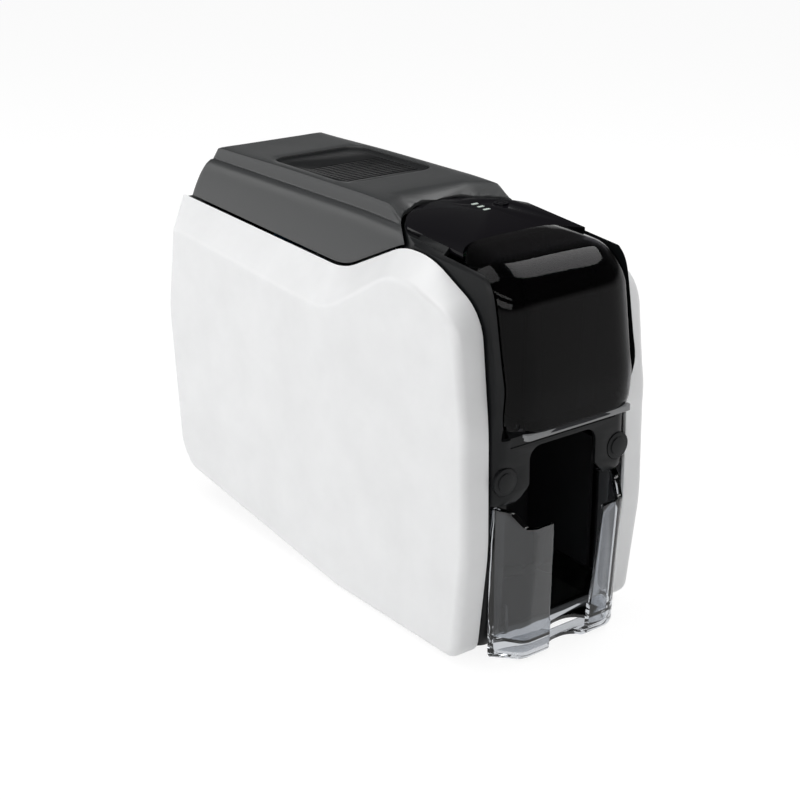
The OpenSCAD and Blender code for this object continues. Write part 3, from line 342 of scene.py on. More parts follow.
def object_position(tree):
    return tree.nodes.new("ShaderNodeTexCoord").outputs["Object"]


def noise_value(tree, scale, detail=3.0, roughness=0.55):
    node = tree.nodes.new("ShaderNodeTexNoise")
    tree.links.new(object_position(tree), node.inputs["Vector"])
    node.inputs["Detail"].default_value = detail
    node.inputs["Roughness"].default_value = roughness
    if isinstance(scale, (int, float)):
        node.inputs["Scale"].default_value = scale
    else:
        tree.links.new(scale, node.inputs["Scale"])
    return node.outputs["Fac"]


def spark_grain_group():
    """The fine spark-eroded texture of a mould, with a slow drift of its gloss."""
    group, inlet, outlet = new_group(
        "Mould grain", [("Grains per metre", 2200.0), ("Grain height", 0.5)],
        [("Height", "NodeSocketFloat"), ("Gloss drift", "NodeSocketFloat")])
    fine = noise_value(group, inlet.outputs["Grains per metre"], 4.0, 0.7)
    cells = group.nodes.new("ShaderNodeTexVoronoi")
    group.links.new(object_position(group), cells.inputs["Vector"])
    group.links.new(inlet.outputs["Grains per metre"], cells.inputs["Scale"])
    mixed = math_node(group, "ADD", math_node(group, "MULTIPLY", fine, 0.6),
                      math_node(group, "MULTIPLY", cells.outputs["Distance"], 0.4))
    group.links.new(math_node(group, "MULTIPLY", mixed, inlet.outputs["Grain height"]),
                    outlet.inputs["Height"])
    group.links.new(noise_value(group, 26.0, 4.0, 0.6), outlet.inputs["Gloss drift"])
    return group


def edge_wear_group():
    """Where edges are rubbed: convex edges, broken up by noise."""
    group, inlet, outlet = new_group("Edge wear", [("Amount", 0.5), ("Sharpness", 12.0)],
                                     [("Mask", "NodeSocketFloat")])
    pointed = group.nodes.new("ShaderNodeNewGeometry").outputs["Pointiness"]
    convex = math_node(group, "MULTIPLY", math_node(group, "SUBTRACT", pointed, 0.53),
                       inlet.outputs["Sharpness"], clamp=True)
    broken = math_node(group, "MULTIPLY", convex,
                       math_node(group, "SUBTRACT", noise_value(group, 180.0), 0.25))
    group.links.new(math_node(group, "MULTIPLY", broken, inlet.outputs["Amount"], clamp=True),
                    outlet.inputs["Mask"])
    return group


def dust_group():
    """A thin film of dust on faces that look up."""
    group, inlet, outlet = new_group("Dust film", [("Amount", 0.1)],
                                     [("Mask", "NodeSocketFloat")])
    split = group.nodes.new("ShaderNodeSeparateXYZ")
    group.links.new(group.nodes.new("ShaderNodeNewGeometry").outputs["Normal"],
                    split.inputs[0])
    upward = math_node(group, "POWER", math_node(group, "MAXIMUM", split.outputs["Z"], 0.0), 3.0)
    patchy = math_node(group, "MULTIPLY", upward, noise_value(group, 45.0, 6.0, 0.7))
    group.links.new(math_node(group, "MULTIPLY", patchy, inlet.outputs["Amount"], clamp=True),
                    outlet.inputs["Mask"])
    return group


EFFECTS = {"Mould grain": spark_grain_group, "Edge wear": edge_wear_group,
           "Dust film": dust_group}


def effect(tree, name, **values):
    """Places a shared effect in a material with its own values."""
    node = tree.nodes.new("ShaderNodeGroup")
    node.node_tree = bpy.data.node_groups.get(name) or EFFECTS[name]()
    node.label = name
    for label, value in values.items():
        node.inputs[label.replace("_", " ")].default_value = value
    return node


# ---- Finishes: one for each material slot of the record, and two clear looks ----
# Colour (None takes a user's colour), roughness, metallic, (grains per metre, grain height,
# bump in mm), wear, dust, coat
FINISHES = {
    "white_moulding": (None, 0.34, 0.0, (2600, 0.25, 0.010), 0.0, 0.0, 0.05),
    "grey_moulding": (None, 0.38, 0.0, (2100, 1.0, 0.050), 0.5, 0.01, 0.0),
    "charcoal_moulding": (None, 0.34, 0.0, (2400, 0.7, 0.030), 0.5, 0.01, 0.0),
    "black_moulding": ((0.012, 0.0125, 0.0135), 0.42, 0.0, (2400, 0.8, 0.035), 0.4, 0.08, 0.0),
    "gloss_black": (None, 0.10, 0.0, (900, 0.2, 0.004), 0.0, 0.0, 0.0),
    "rubber": ((0.012, 0.012, 0.012), 0.72, 0.0, (1800, 1.0, 0.06), 0.3, 0.16, 0.0),
    "roller_rubber": ((0.030, 0.031, 0.033), 0.60, 0.0, (3000, 0.8, 0.03), 0.0, 0.0, 0.0),
    "blue_rubber": ((0.05, 0.16, 0.32), 0.35, 0.0, (1600, 0.4, 0.01), 0.0, 0.0, 0.0),
    "steel": ((0.56, 0.57, 0.58), 0.30, 1.0, (1500, 0.5, 0.012), 0.3, 0.0, 0.0),
    "motor_steel": ((0.20, 0.205, 0.21), 0.38, 1.0, (1300, 0.5, 0.02), 0.4, 0.0, 0.0),
    "head_alloy": ((0.34, 0.35, 0.36), 0.36, 1.0, (1900, 0.5, 0.015), 0.3, 0.0, 0.0),
    "brass": ((0.62, 0.45, 0.17), 0.28, 1.0, (1500, 0.4, 0.01), 0.2, 0.0, 0.0),
    "natural_nylon": ((0.74, 0.71, 0.63), 0.42, 0.0, (1700, 0.5, 0.02), 0.0, 0.0, 0.0),
    "circuit_board": ((0.012, 0.085, 0.045), 0.30, 0.0, (1200, 0.4, 0.02), 0.0, 0.0, 0.3),
    "ribbon_film": ((0.02, 0.075, 0.14), 0.20, 0.0, (700, 0.3, 0.01), 0.0, 0.0, 0.5),
    "clear_edge": ((0.22, 0.225, 0.23), 0.14, 0.0, (900, 0.2, 0.004), 0.0, 0.0, 0.6),
    "light_lens": ((0.55, 0.62, 0.57), 0.30, 0.0, (1500, 0.3, 0.01), 0.0, 0.0, 0.0),
}
PLAIN_SHEEN = 0.15
SHEENS = {"white_moulding": 0.5, "gloss_black": 0.18, "grey_moulding": 0.6, "steel": 0.5,
          "motor_steel": 0.5, "head_alloy": 0.5, "brass": 0.5, "ribbon_film": 0.5,
          "circuit_board": 0.5}
USER_COLOURS = {"white_moulding": "side_colour", "grey_moulding": "roof_colour",
                "charcoal_moulding": "nose_colour", "gloss_black": "panel_colour"}
# A user's tint, and a refractive index low enough to keep the door's front dark
CLEARS = {"smoked_clear": ("smoke_colour", 1.2), "bin_clear": ("bin_colour", 1.5)}
DUST_COLOUR = (0.42, 0.41, 0.39, 1)
WORN_SHARE = 0.12
WORN_METAL_SHARE = 0.25


def lighter(colour, share, tint=(0.5, 0.49, 0.47)):
    return [c + (t - c) * share for c, t in zip(colour, tint)] + [1]


def drift(colour, share):
    """A colour's darker and lighter ends, between which it drifts over a surface."""
    return ([c * (1 - share) for c in colour] + [1],
            [min(1, c * (1 + share)) for c in colour] + [1])


def mix_colour(tree, mask, first, second):
    node = tree.nodes.new("ShaderNodeMix")
    node.data_type = "RGBA"
    tree.links.new(mask, node.inputs["Factor"])
    for socket, value in ((node.inputs[6], first), (node.inputs[7], second)):
        if isinstance(value, bpy.types.NodeSocket):
            tree.links.new(value, socket)
        else:
            socket.default_value = value
    return node.outputs[2]


def finish_title(name):
    """A finish's own material name, apart from the plain materials of the frame."""
    return name.replace("_", " ") + " finish"


def new_material(name):
    mat = bpy.data.materials.new(finish_title(name))
    mat.use_nodes = True
    tree = mat.node_tree
    tree.nodes.clear()
    surface = tree.nodes.new("ShaderNodeBsdfPrincipled")
    output = tree.nodes.new("ShaderNodeOutputMaterial")
    tree.links.new(surface.outputs[0], output.inputs["Surface"])
    return mat, tree, surface


def moulded_material(name):
    """An opaque finish: drifting colour and gloss, mould grain, rubbed edges and dust."""
    colour, rough, metallic, grain_values, wear, dust, coat = FINISHES[name]
    if colour is None:
        colour = tuple(getattr(finish(), USER_COLOURS[name]))
    mat, tree, surface = new_material(name)
    grain = effect(tree, "Mould grain", Grains_per_metre=grain_values[0],
                   Grain_height=grain_values[1])
    base = mix_colour(tree, grain.outputs["Gloss drift"], *drift(colour, 0.07))
    if wear:
        rubbed = effect(tree, "Edge wear", Amount=wear * finish().wear)
        share = WORN_METAL_SHARE if metallic else WORN_SHARE
        base = mix_colour(tree, rubbed.outputs["Mask"], base, lighter(colour, share))
    if dust:
        film = effect(tree, "Dust film", Amount=dust)
        base = mix_colour(tree, film.outputs["Mask"], base, DUST_COLOUR)
    tree.links.new(base, surface.inputs["Base Color"])
    surface.inputs["Metallic"].default_value = metallic
    tree.links.new(math_node(tree, "ADD",
                             math_node(tree, "MULTIPLY", grain.outputs["Gloss drift"], 0.12),
                             rough - 0.06), surface.inputs["Roughness"])
    surface.inputs["Specular IOR Level"].default_value = SHEENS.get(name, PLAIN_SHEEN)
    surface.inputs["Coat Weight"].default_value = coat
    surface.inputs["Coat Roughness"].default_value = 0.06
    bump = tree.nodes.new("ShaderNodeBump")
    bump.inputs["Distance"].default_value = grain_values[2] * MM
    bump.inputs["Strength"].default_value = 0.6
    tree.links.new(grain.outputs["Height"], bump.inputs["Height"])
    tree.links.new(bump.outputs[0], surface.inputs["Normal"])
    return mat


def clear_material(name, tint, index):
    """Tinted clear plastic with faint flow marks in its gloss."""
    mat, tree, surface = new_material(name)
    flow = noise_value(tree, 14.0, 3.0, 0.5)
    tree.links.new(mix_colour(tree, flow, *drift(tint, 0.04)), surface.inputs["Base Color"])
    tree.links.new(math_node(tree, "MULTIPLY", flow, 0.05), surface.inputs["Roughness"])
    surface.inputs["Transmission Weight"].default_value = 1.0
    surface.inputs["IOR"].default_value = index
    return mat


def material(name):
    found = bpy.data.materials.get(finish_title(name))
    if found:
        return found
    if name in CLEARS:
        tint, index = CLEARS[name]
        return clear_material(name, tuple(getattr(finish(), tint)), index)
    return moulded_material(name)


# ---- Side covers ----
# Side view corners as (y, z, radius): of the seam against the core, and of the outer flat
SEAM_CORNERS = [
    (-161.5, 3, 12), (-170.6, 80, 200), (-168.5, 160, 250), (-160, 232, 32), (-112, 256, 60),
    (-84, 256, 50), (-20, 226.5, 60), (189.5, 235.6, 5), (192, 150, 200), (180, 40, 30),
    (165, 24, 20), (-30, 1.5, 60)]
FLAT_CORNERS = [
    (-161.5, 3, 12), (-170.2, 80, 200), (-168.5, 160, 250), (-158, 231, 30), (-112, 246, 56),
    (-88, 244, 48), (-20, 205.5, 60), (176, 219.6, 9), (189.4, 150, 200), (179, 40, 30),
    (165, 24, 20), (-30, 1.5, 60)]


def side_cover_section(reach, drop, radius):
    """From the seam out to the flat: a straight slope and a soft edge, as (x, inset)."""
    centre = Vector((reach - radius, drop))
    length = centre.length
    angle = math.atan2(drop, reach - radius) - math.asin(min(1, radius / length))
    run = math.sqrt(max(0, length * length - radius * radius))
    points = [(run * t * math.cos(angle), run * t * math.sin(angle))
              for t in (0.04, 0.2, 0.4, 0.6, 0.8, 1)]
    for k in range(1, 9):
        a = angle + (math.pi / 2 - angle) * k / 8
        points.append((centre.x + radius * math.sin(a), centre.y - radius * math.cos(a)))
    return points


def side_cover(side):
    s = shape()
    seam_x, half = s.core_width / MM / 2, s.body_width / MM / 2
    soft, wall = s.soft_edge / MM, s.moulding_wall / MM
    columns = []
    for p, q in zip(outline(SEAM_CORNERS), outline(FLAT_CORNERS, soft)):
        way = q - p
        section = side_cover_section(half - seam_x, way.length, soft)
        columns.append((p, way.normalized(), section))

    def ring(place):
        """One ring of points, from each column's (x past the seam, inset from it)."""
        points = []
        for p, way, section in columns:
            x, inset = place(section)
            points.append([side * (seam_x + x), *(p + way * inset)])
        return points

    reach = half - seam_x
    rings = [ring(lambda section: (0.0, wall)),
             ring(lambda section: (0.0, 0.5)),
             ring(lambda section: (0.15, 0.13))]
    rings += [ring(lambda section, k=k: section[k]) for k in range(len(columns[0][2]))]
    rings += [ring(lambda section: (reach, section[-1][1] + 1.2)),
              ring(lambda section: (reach - wall, section[-1][1] + 1.6)),
              ring(lambda section: (section[5][0] - 1, section[5][1] + wall + 0.4))]
    outer_flat, inner_flat = len(rings) - 3, len(rings) - 2
    faces = bands(rings, [i for i in range(len(rings)) if i != outer_flat])
    size = len(rings[0])
    faces += [[i * size + j for j in range(size)] for i in (outer_flat, inner_flat)]
    hand = "right" if side > 0 else "left"
    obj = mesh_object(hand + "_side_cover", [p for r in rings for p in r], faces)
    return dress(obj, "white_moulding", "root", hand + "_cover", angle=50)


class CARDPRINTER_OT_side_covers(bpy.types.Operator):
    """Build the two moulded side covers"""

    bl_idname = "cardprinter.side_covers"
    bl_label = "Side covers"

    def execute(self, context):
        side_cover(1)
        side_cover(-1)
        return {"FINISHED"}


# ---- Nose: the shell around the door bay, the card slot and the bin's bay ----
NOSE_X = 56.6
NOSE_WALL = 2.2
# (height, reach to the front, radius of the front corners)
NOSE_LEVELS = [
    (5, 158, 10), (20, 163, 10), (60, 165.5, 10), (105, 165.5, 10), (109, 166.2, 10),
    (111, 172.5, 10), (140, 172.5, 10), (157, 173.5, 10), (172, 178, 9), (186, 180, 8),
    (202, 177, 8), (218, 174, 8), (236, 170.5, 8), (246, 167.5, 8), (252, 163, 8),
    (257, 155.5, 8), (260, 146, 8), (263, 130, 8), (268, 112, 8)]
CAP_X = 47.6
CAP_Z = 125
DOOR_Z = 157.0
DOOR_X = 54.0
DOOR_CURVE_HEIGHT = 29
DOOR_CURVE_DEPTH = 8.6
HINGE_AXIS = (-178, 164)  # (y, z)
BAY_X = 40
PANEL_FRONT = -117.6
PANEL_FRONT_Z = 262
PANEL_SLOPE = 6.4
PANEL_RADIUS = 55.6
PANEL_SEAT_RADIUS = 56.4
PANEL_HALF = 50.0
SHOULDER_ROOM = [(53.6, -3.4), (58, -7.9), (58, 9), (53.6, 9)]
SHOULDER_BAR = [(50.3, -4.6), (50.3, -0.2), (55.8, -5.6), (55.8, -8)]
DOOR_REAR_RADIUS = 34
ARC_CENTRE = -101.7  # along Y, for the panel's arc and the roof's


def panel_z(y):
    """The height of the control panel, which slopes up to the arc."""
    share = (y - PANEL_FRONT) / (PANEL_RADIUS + ARC_CENTRE - PANEL_FRONT)
    return PANEL_FRONT_Z + PANEL_SLOPE * share


def door_half(z):
    """Half the door's width at a height: its lower corners are quarter ellipses."""
    t = min(1, max(0, (z - DOOR_Z) / DOOR_CURVE_HEIGHT))
    return DOOR_X - DOOR_CURVE_DEPTH * (1 - math.sqrt(1 - (1 - t) ** 2))


def door_front_view(gap, drop=0):
    """The door's front view with a gap around it, open above, as (x, z)."""
    rises = [0, 0.7, 1.5, 3, 5, 7.5, 10, 13, 17, 22, DOOR_CURVE_HEIGHT]
    left = [(-door_half(DOOR_Z + r) - gap, DOOR_Z + r - drop) for r in reversed(rises)]
    right = [(door_half(DOOR_Z + r) + gap, DOOR_Z + r - drop) for r in rises]
    return left + right + [(DOOR_X + gap, 300), (-DOOR_X - gap, 300)]


def nose_solid(name, inset, back, lift):
    """The nose lofted through its levels, all of it inset and lifted for its hollow."""
    rings = []
    for z, reach, radius in blend_rows(NOSE_LEVELS, 4):
        w, f, r = NOSE_X - inset, inset - reach, max(0.5, radius - inset)
        ring = outline([(-w, f, r), (-w, back, 0.4), (w, back, 0.4), (w, f, r)], 0, 8)
        rings.append([(p.x, p.y, z + lift) for p in ring])
    return loft(name, rings)


def panel_plan(radius, half_x, front, steps=72):
    """The plan of the control panel: square in front, and a large arc behind."""
    reach = math.asin(min(1, half_x / radius))
    points = [(-half_x, front)]
    for k in range(steps + 1):
        a = -reach + 2 * reach * k / steps
        points.append((radius * math.sin(a), ARC_CENTRE + radius * math.cos(a)))
    return points + [(half_x, front)]


def panel_front_edge(steps=14):
    """The front edge of the control panel, which follows the door's rounded rear corners."""
    r = DOOR_REAR_RADIUS
    x0, y0 = DOOR_X + 1 - r, PANEL_FRONT - 1 - r
    edge = r + 1.6
    reach = math.asin(min(1, (PANEL_HALF - x0) / edge))
    right = [(x0 + edge * math.sin(reach * k / steps), y0 + edge * math.cos(reach * k / steps))
             for k in range(steps, -1, -1)]
    return right + [(-x, y) for x, y in reversed(right)]


def panel_layer(name, points, low, high):
    """A prism of plan points between two heights above the slope of the control panel."""
    return loft(name, [[(x, y, panel_z(y) + low) for x, y in points],
                       [(x, y, panel_z(y) + high) for x, y in points]])


def shoulder_solid(side, section, rear, front):
    """A bar along the side of the control panel, from (x, height above the panel) points."""
    return loft("shoulder", [[(side * x, y, panel_z(y) + h) for x, h in section]
                             for y in (rear, front)])


def nose_shell():
    """The hollow nose, cut for the door, the card slot and the bin, with the panel's seat."""
    body = nose_solid("nose_shell", 0, -92, 0)
    combine(body, [
        nose_solid("hollow", NOSE_WALL, 0, -2),
        prism("door bay", door_front_view(0.4), -220, PANEL_FRONT + 0.6, "Y"),
        prism("door foot", door_front_view(0.4, 1.8), -220, PANEL_FRONT + 0.6, "Y"),
        prism("bin bay", outline([(-BAY_X, 13, 0.5), (-BAY_X, 106, 3), (-28, 118, 3),
                                  (-28, 143, 9), (28, 143, 9), (28, 118, 3), (BAY_X, 106, 3),
                                  (BAY_X, 13, 0.5)]), -220, -150, "Y"),
        block("slot recess", (-44, -220, 146), (44, -150, 165)),
        prism("door swing", circle(*HINGE_AXIS, 13, 96), -51, 51, "X"),
    ])
    parts = []
    for side in (1, -1):
        parts.append(block_on_side("hinge seat", side, 44, 55.6, (-165, 146), (-158, 169)))
        x0, x1 = sorted((side * 42.8, side * 45.6))
        parts.append(prism("hinge ear", circle(*HINGE_AXIS, 3.8, 48), x0, x1, "X"))
        parts.append(block("hinge arm", (x0, HINGE_AXIS[0], 161.2), (x1, -160, 166.8)))
    deck = panel_plan(PANEL_SEAT_RADIUS, NOSE_X - 0.3, PANEL_FRONT + 0.6)
    parts.append(panel_layer("panel deck", deck, -5.4, -3))
    combine(body, parts, "UNION")
    wall_plan = panel_plan(PANEL_SEAT_RADIUS, 56.3, -93)
    inner_plan = panel_plan(54, 54.2, -95)
    rear_wall = combine(prism("panel wall", wall_plan, 226.5, 262, "Z"),
                        [prism("panel hollow", inner_plan, 200, 300, "Z")])
    combine(body, [rear_wall], "UNION")
    cuts = [panel_layer("above panel", [(-90, -200), (-90, 0), (90, 0), (90, -200)], -3, 90)]
    for side in (1, -1):
        cuts.append(prism("cap seat", circle(side * CAP_X, CAP_Z, 9.4), -190, -171, "Y"))
        cuts.append(shoulder_solid(side, SHOULDER_ROOM, -200, 0))
    combine(body, cuts)
    combine(body, [shoulder_solid(side, SHOULDER_BAR, -119, -92.2) for side in (1, -1)],
            "UNION")
    round_edges(body, 0.7, 38)
    return dress(body, "charcoal_moulding", "root", "front_shell")


class CARDPRINTER_OT_nose(bpy.types.Operator):
    """Build the moulded nose around the door and the bin"""

    bl_idname = "cardprinter.nose"
    bl_label = "Nose"

    def execute(self, context):
        nose_shell()
        for side in (1, -1):
            cap = prism("side_cap", circle(side * CAP_X, CAP_Z, 9), -173.2, -171, "Y")
            rim = prism("rim", circle(side * CAP_X, CAP_Z, 6), -174, -172.6, "Y")
            combine(cap, [rim], "UNION")
            round_edges(cap, 0.35, 40)
            cap.name = "right_side_cap" if side > 0 else "left_side_cap"
            dress(cap, "charcoal_moulding", "root", "side_caps")
        return {"FINISHED"}


# ---- Control panel ----
class CARDPRINTER_OT_control_panel(bpy.types.Operator):
    """Build the gloss control panel with its key and lights"""

    bl_idname = "cardprinter.control_panel"
    bl_label = "Control panel"

    def execute(self, context):
        arc = panel_plan(PANEL_RADIUS, PANEL_HALF, PANEL_FRONT)[1:-1]
        panel = panel_layer("gloss_panel", arc + panel_front_edge(), -3, 0)
        cuts = [prism("key hole", circle(33, -70, 5.3), 240, 320, "Z")]
        cuts += [block("light hole", (13.9, y - 0.1, 240), (19.1, y + 2.1, 320))
                 for y in (-64, -70, -76)]
        combine(panel, cuts)
        round_edges(panel, 0.9, 40)
        dress(panel, "gloss_black", "root", "control_panel")
        return {"FINISHED"}


# ---- Door ----
DOOR_DEPTH = 16.2
DOOR_CORNER_WIDTH = 22
DOOR_CORNER_DEPTH = 12


def door_frames():
    """Points along the middle of the door's front, with their outward normals."""
    a, b, c, d = (-shape().door_reach / MM, DOOR_Z), (-185.4, 181), (-172.4, 258.4), (-110, 264)
    first = corner_arc(a, b, c, 150, 8)
    second = corner_arc(b, c, d, 34, 20)
    start, normal = first[0]
    lead = []
    for h in (0, 0.7, 1.5, 3, 5, 7.5, 10, 13, 17):
        t = h / (start.y - DOOR_Z)
        lead.append((Vector(a) + (start - Vector(a)) * t, normal))
    way = (Vector(d) - Vector(c)).normalized()
    return lead + first + second + [(Vector(d), Vector((-way.y, way.x)))]


def door_half_section(w, inset, depth):
    """Half of the door's section, outside edge first, as (half width, depth)."""
    def crown(x):
        return 1.2 * (x / w) ** 2

    flat = w - DOOR_CORNER_WIDTH
    rows = [(w - inset, depth), (w - inset, depth * 0.6 + DOOR_CORNER_DEPTH * 0.4 + 0.5)]
    for k in range(13):
        a = math.radians(7.5 * k)
        x = flat + (DOOR_CORNER_WIDTH - inset) * math.cos(a)
        rows.append((x, DOOR_CORNER_DEPTH - (DOOR_CORNER_DEPTH - inset) * math.sin(a) + crown(x)))
    return rows + [(flat * k, inset + crown(flat * k)) for k in (0.8, 0.6, 0.4, 0.2)]


def door_solid(name, clear):
    """The door's thin shell, one section at each point up its front and over its top."""
    rings = []
    for point, normal in door_frames():
        w = door_half(point.y)
        out = door_half_section(w, 0, DOOR_DEPTH)
        inn = door_half_section(w, clear, DOOR_DEPTH)
        row = out + [(0, 0)] + [(-x, d) for x, d in reversed(out)]
        row += [(-x, d) for x, d in inn] + [(0, clear)] + list(reversed(inn))
        rings.append([(x, point.x - normal.x * d, point.y - normal.y * d) for x, d in row])
    return loft(name, rings, strip_caps=True)


def clear_door():
    """The smoked door between its hinge ears, and its clear lip."""
    s = shape()
    reach, clear = s.door_reach / MM, s.clear_wall / MM
    door = door_solid("clear_door", clear)
    corner = DOOR_REAR_RADIUS
    rear = prism("rear cut", outline([(-55, -240, 1), (-55, PANEL_FRONT - 1, corner),
                                      (55, PANEL_FRONT - 1, corner), (55, -240, 1)]),
                 100, 300, "Z")
    combine(door, [rear], "INTERSECT")
    low = block("low corners", (-80, 4.4 - reach, 100), (80, 0, DOOR_Z + 3.6))
    ears = [prism("ear room", circle(*HINGE_AXIS, 4.2, 48), *sorted((k * 42.4, k * 46)), "X")
            for k in (1, -1)]
    combine(door, [low] + ears)
    lip = prism("door_lip", outline([(-44, 0.4 - reach, 3), (-44, 5 - reach, 0.5),
                                     (44, 5 - reach, 0.5), (44, 0.4 - reach, 3)]),
                DOOR_Z - 1.6, DOOR_Z + 2, "Z")
    combine(lip, [block("lip step", (-60, 3.6 - reach, 0), (60, -100, DOOR_Z))])
    round_edges(door, 0.5, 40)
    round_edges(lip, 0.4, 40)
    dress(lip, "smoked_clear", "door", "input_door", look="clear_edge")
    return dress(door, "smoked_clear", "door", "input_door")


class CARDPRINTER_OT_door(bpy.types.Operator):
    """Build the smoked clear input door"""

    bl_idname = "cardprinter.door"
    bl_label = "Input door"

    def execute(self, context):
        clear_door()
        return {"FINISHED"}


# ---- Output bin ----
BIN_LOW = 1.0
BIN_RIM = 106.0
BIN_LEAN = 6
BIN_BACK_HALF = 53.4
BIN_FRONT_HALF = 39
BIN_FLOOR_Z = 13.4


def bin_solid(name, inset, reach):
    """The bin's block, which tapers to the front and leans back towards its foot."""
    rows = []
    for k in range(7):
        a = math.radians(15 * k)
        lift, tuck = 6 * (1 - math.cos(a)), 1 - math.sin(a)
        rows.append((BIN_LOW + inset + lift, BIN_LEAN + 4 * tuck - BIN_LEAN * lift / 100,
                     2.5 * tuck))
    rows += [(z, BIN_LEAN * (BIN_RIM - z) / (BIN_RIM - 7), 0)
             for z in (30, 50, 70, 90, BIN_RIM + 10)]
    rings = []
    for z, lean, tuck in rows:
        back, front = -166 + 2 * inset, max(lean, 0) + inset - reach
        wide, narrow = BIN_BACK_HALF - tuck - inset, BIN_FRONT_HALF - tuck - inset
        ring = outline([(-wide, back, 0.1), (wide, back, 0.1), (narrow, front, 10 - inset),
                        (-narrow, front, 10 - inset)], 0, 10)
        rings.append([(p.x, p.y, z) for p in ring])
    return loft(name, rings)


def output_bin():
    """The clear bin with its floor, its tongue into the printer and its finger gap."""
    s = shape()
    reach, clear = s.bin_reach / MM, s.clear_wall / MM
    obj = bin_solid("clear_bin", 0, reach)
    rim = prism("above rim", outline([(-161, 156, 1), (-161, 106, 1), (-reach + 14, 105.5, 5),
                                      (-reach + 5, 96, 4), (-reach - 5, 96, 1),
                                      (-reach - 5, 156, 1)]), -90, 90, "X")
    combine(obj, [bin_solid("bin hollow", clear, reach), rim,
                  block("open back", (-BAY_X, -169, BIN_FLOOR_Z), (BAY_X, 0, 200))])
    floor_top = BIN_FLOOR_Z + clear
    floor = combine(bin_solid("bin floor", clear / 2, reach),
                    [block("slab", (-90, -220, BIN_FLOOR_Z), (90, -165.98, floor_top))],
                    "INTERSECT")
    tongue = [block("tongue", (-39, -170, BIN_FLOOR_Z), (39, -112, floor_top))]
    tongue += [block_on_side("tongue side", side, 39, 39 - clear, (-167, BIN_FLOOR_Z),
                             (-112, BIN_FLOOR_Z + 22)) for side in (1, -1)]
    combine(obj, [floor] + tongue, "UNION")
    gap = prism("finger gap", outline([(-18, -220, 1), (-18, -174, 16), (18, -174, 16),
                                       (18, -220, 1)]), -5, 200, "Z")
    flare = prism("flare", [(-18, 25), (-22, 107), (22, 107), (18, 25)], -220, -178, "Y")
    combine(obj, [gap, flare])
    round_edges(obj, 0.6, 40)
    return dress(obj, "smoked_clear", "bin", "output_bin", look="bin_clear")


class CARDPRINTER_OT_bin(bpy.types.Operator):
    """Build the smoked clear output bin"""

    bl_idname = "cardprinter.bin"
    bl_label = "Output bin"

    def execute(self, context):
        output_bin()
        return {"FINISHED"}


# ---- Top cover ----
# Half a section, from the skirt up: (in from the side, height over the crest, share of the rise)
ROOF_SECTION = [
    (0, -46, 0), (0, -30, 0), (0.8, -19, 0), (2.4, -9.5, 0), (4.8, -3.2, 0), (7.2, -0.6, 0),
    (8.8, 0, 0), (9.9, -0.5, 0.05), (10.9, 0, 0.4), (12.1, 0, 0.85), (13.8, 0, 1), (30, 0, 1)]
# The way into the wall at each of its points
ROOF_INWARD = [
    (1, 0), (1, 0), (0.96, 0.12), (0.88, 0.4), (0.68, 0.72), (0.44, 0.9), (0.12, 1),
    (0.3, 0.95), (0.88, 0.48), (0.8, 0.64), (0.48, 1), (0, 1)]
CREST_Z = 266.0
ROOF_RISE = 9.5
ARC_STEP = 0.28
STEP_SLOPE = 0.09
ARC_RADIUS = 58.6
COVER_X = 57.2


def crest(y):
    """The height of the roof's edge line, which dips towards the arc."""
    return CREST_Z - 2 * smooth((-20 - y) / 68)


def rise(x, y):
    """How far the roof stands above its crest: low at the arc, full behind, a little less aft."""
    past_arc = max(0, math.hypot(x, y - ARC_CENTRE) - ARC_RADIUS)
    share = smooth_min(ARC_STEP + STEP_SLOPE * past_arc, 1, 0.12)
    return ROOF_RISE * share * (1 - 0.12 * smooth((y - 60) / 90))


def rear_slope(y, depth):
    """The height of the roof's rear slope, at a depth under its face."""
    return 233 + (178 - y) * 1.93 - depth * 2.17


def roof_ring(y, rows, wall):
    """One ring of the roof's shell: its outside from side to side, then its inside."""
    out, inn = [], []
    for i, (dx, dz, share, nx, nz) in enumerate(rows):
        for e, side in ((0, out), (wall, inn)):
            x = COVER_X - dx
            z = crest(y) + dz + share * rise(x, y) - nz * e
            z = 218.5 if i == 0 else smooth_min(z, rear_slope(y, e), 5)
            side.append((x - nx * e, y, z))
    top = crest(y) + rise(0, y)
    full = out + [(0, y, smooth_min(top, rear_slope(y, 0), 5))]
    full += [(-x, y, z) for x, y, z in reversed(out)]
    full += [(-x, y, z) for x, y, z in inn]
    full += [(0, y, smooth_min(top - wall, rear_slope(y, wall), 5))] + list(reversed(inn))
    return full


def top_cover():
    wall = shape().moulding_wall / MM
    rows = blend_rows([a + b for a, b in zip(ROOF_SECTION, ROOF_INWARD)], 3)
    steps = [-91 + 3 * k for k in range(33)] + [12 * k for k in range(1, 12)]
    steps += [134 + 2 * k for k in range(23)]
    cover = loft("roof_cover", [roof_ring(y, rows, wall) for y in steps], strip_caps=True)
    cuts = [prism("panel arc", circle(0, ARC_CENTRE, ARC_RADIUS, 200), 200, 300, "Z"),
            prism("side gap", outline(SEAM_CORNERS, -1.8, 6), -90, 90, "X"),
            prism("button well", rounded_box(-38.6, 3.4, 38.6, 98.6, 14), 260, 300, "Z")]
    cuts += [block_on_side("hinge notch", side, 36, 52, (164, 200), (190, 247))
             for side in (1, -1)]
    combine(cover, cuts)
    round_edges(cover, 0.5, 50, 2)
    return dress(cover, "grey_moulding", "cover", "top_cover", angle=40)


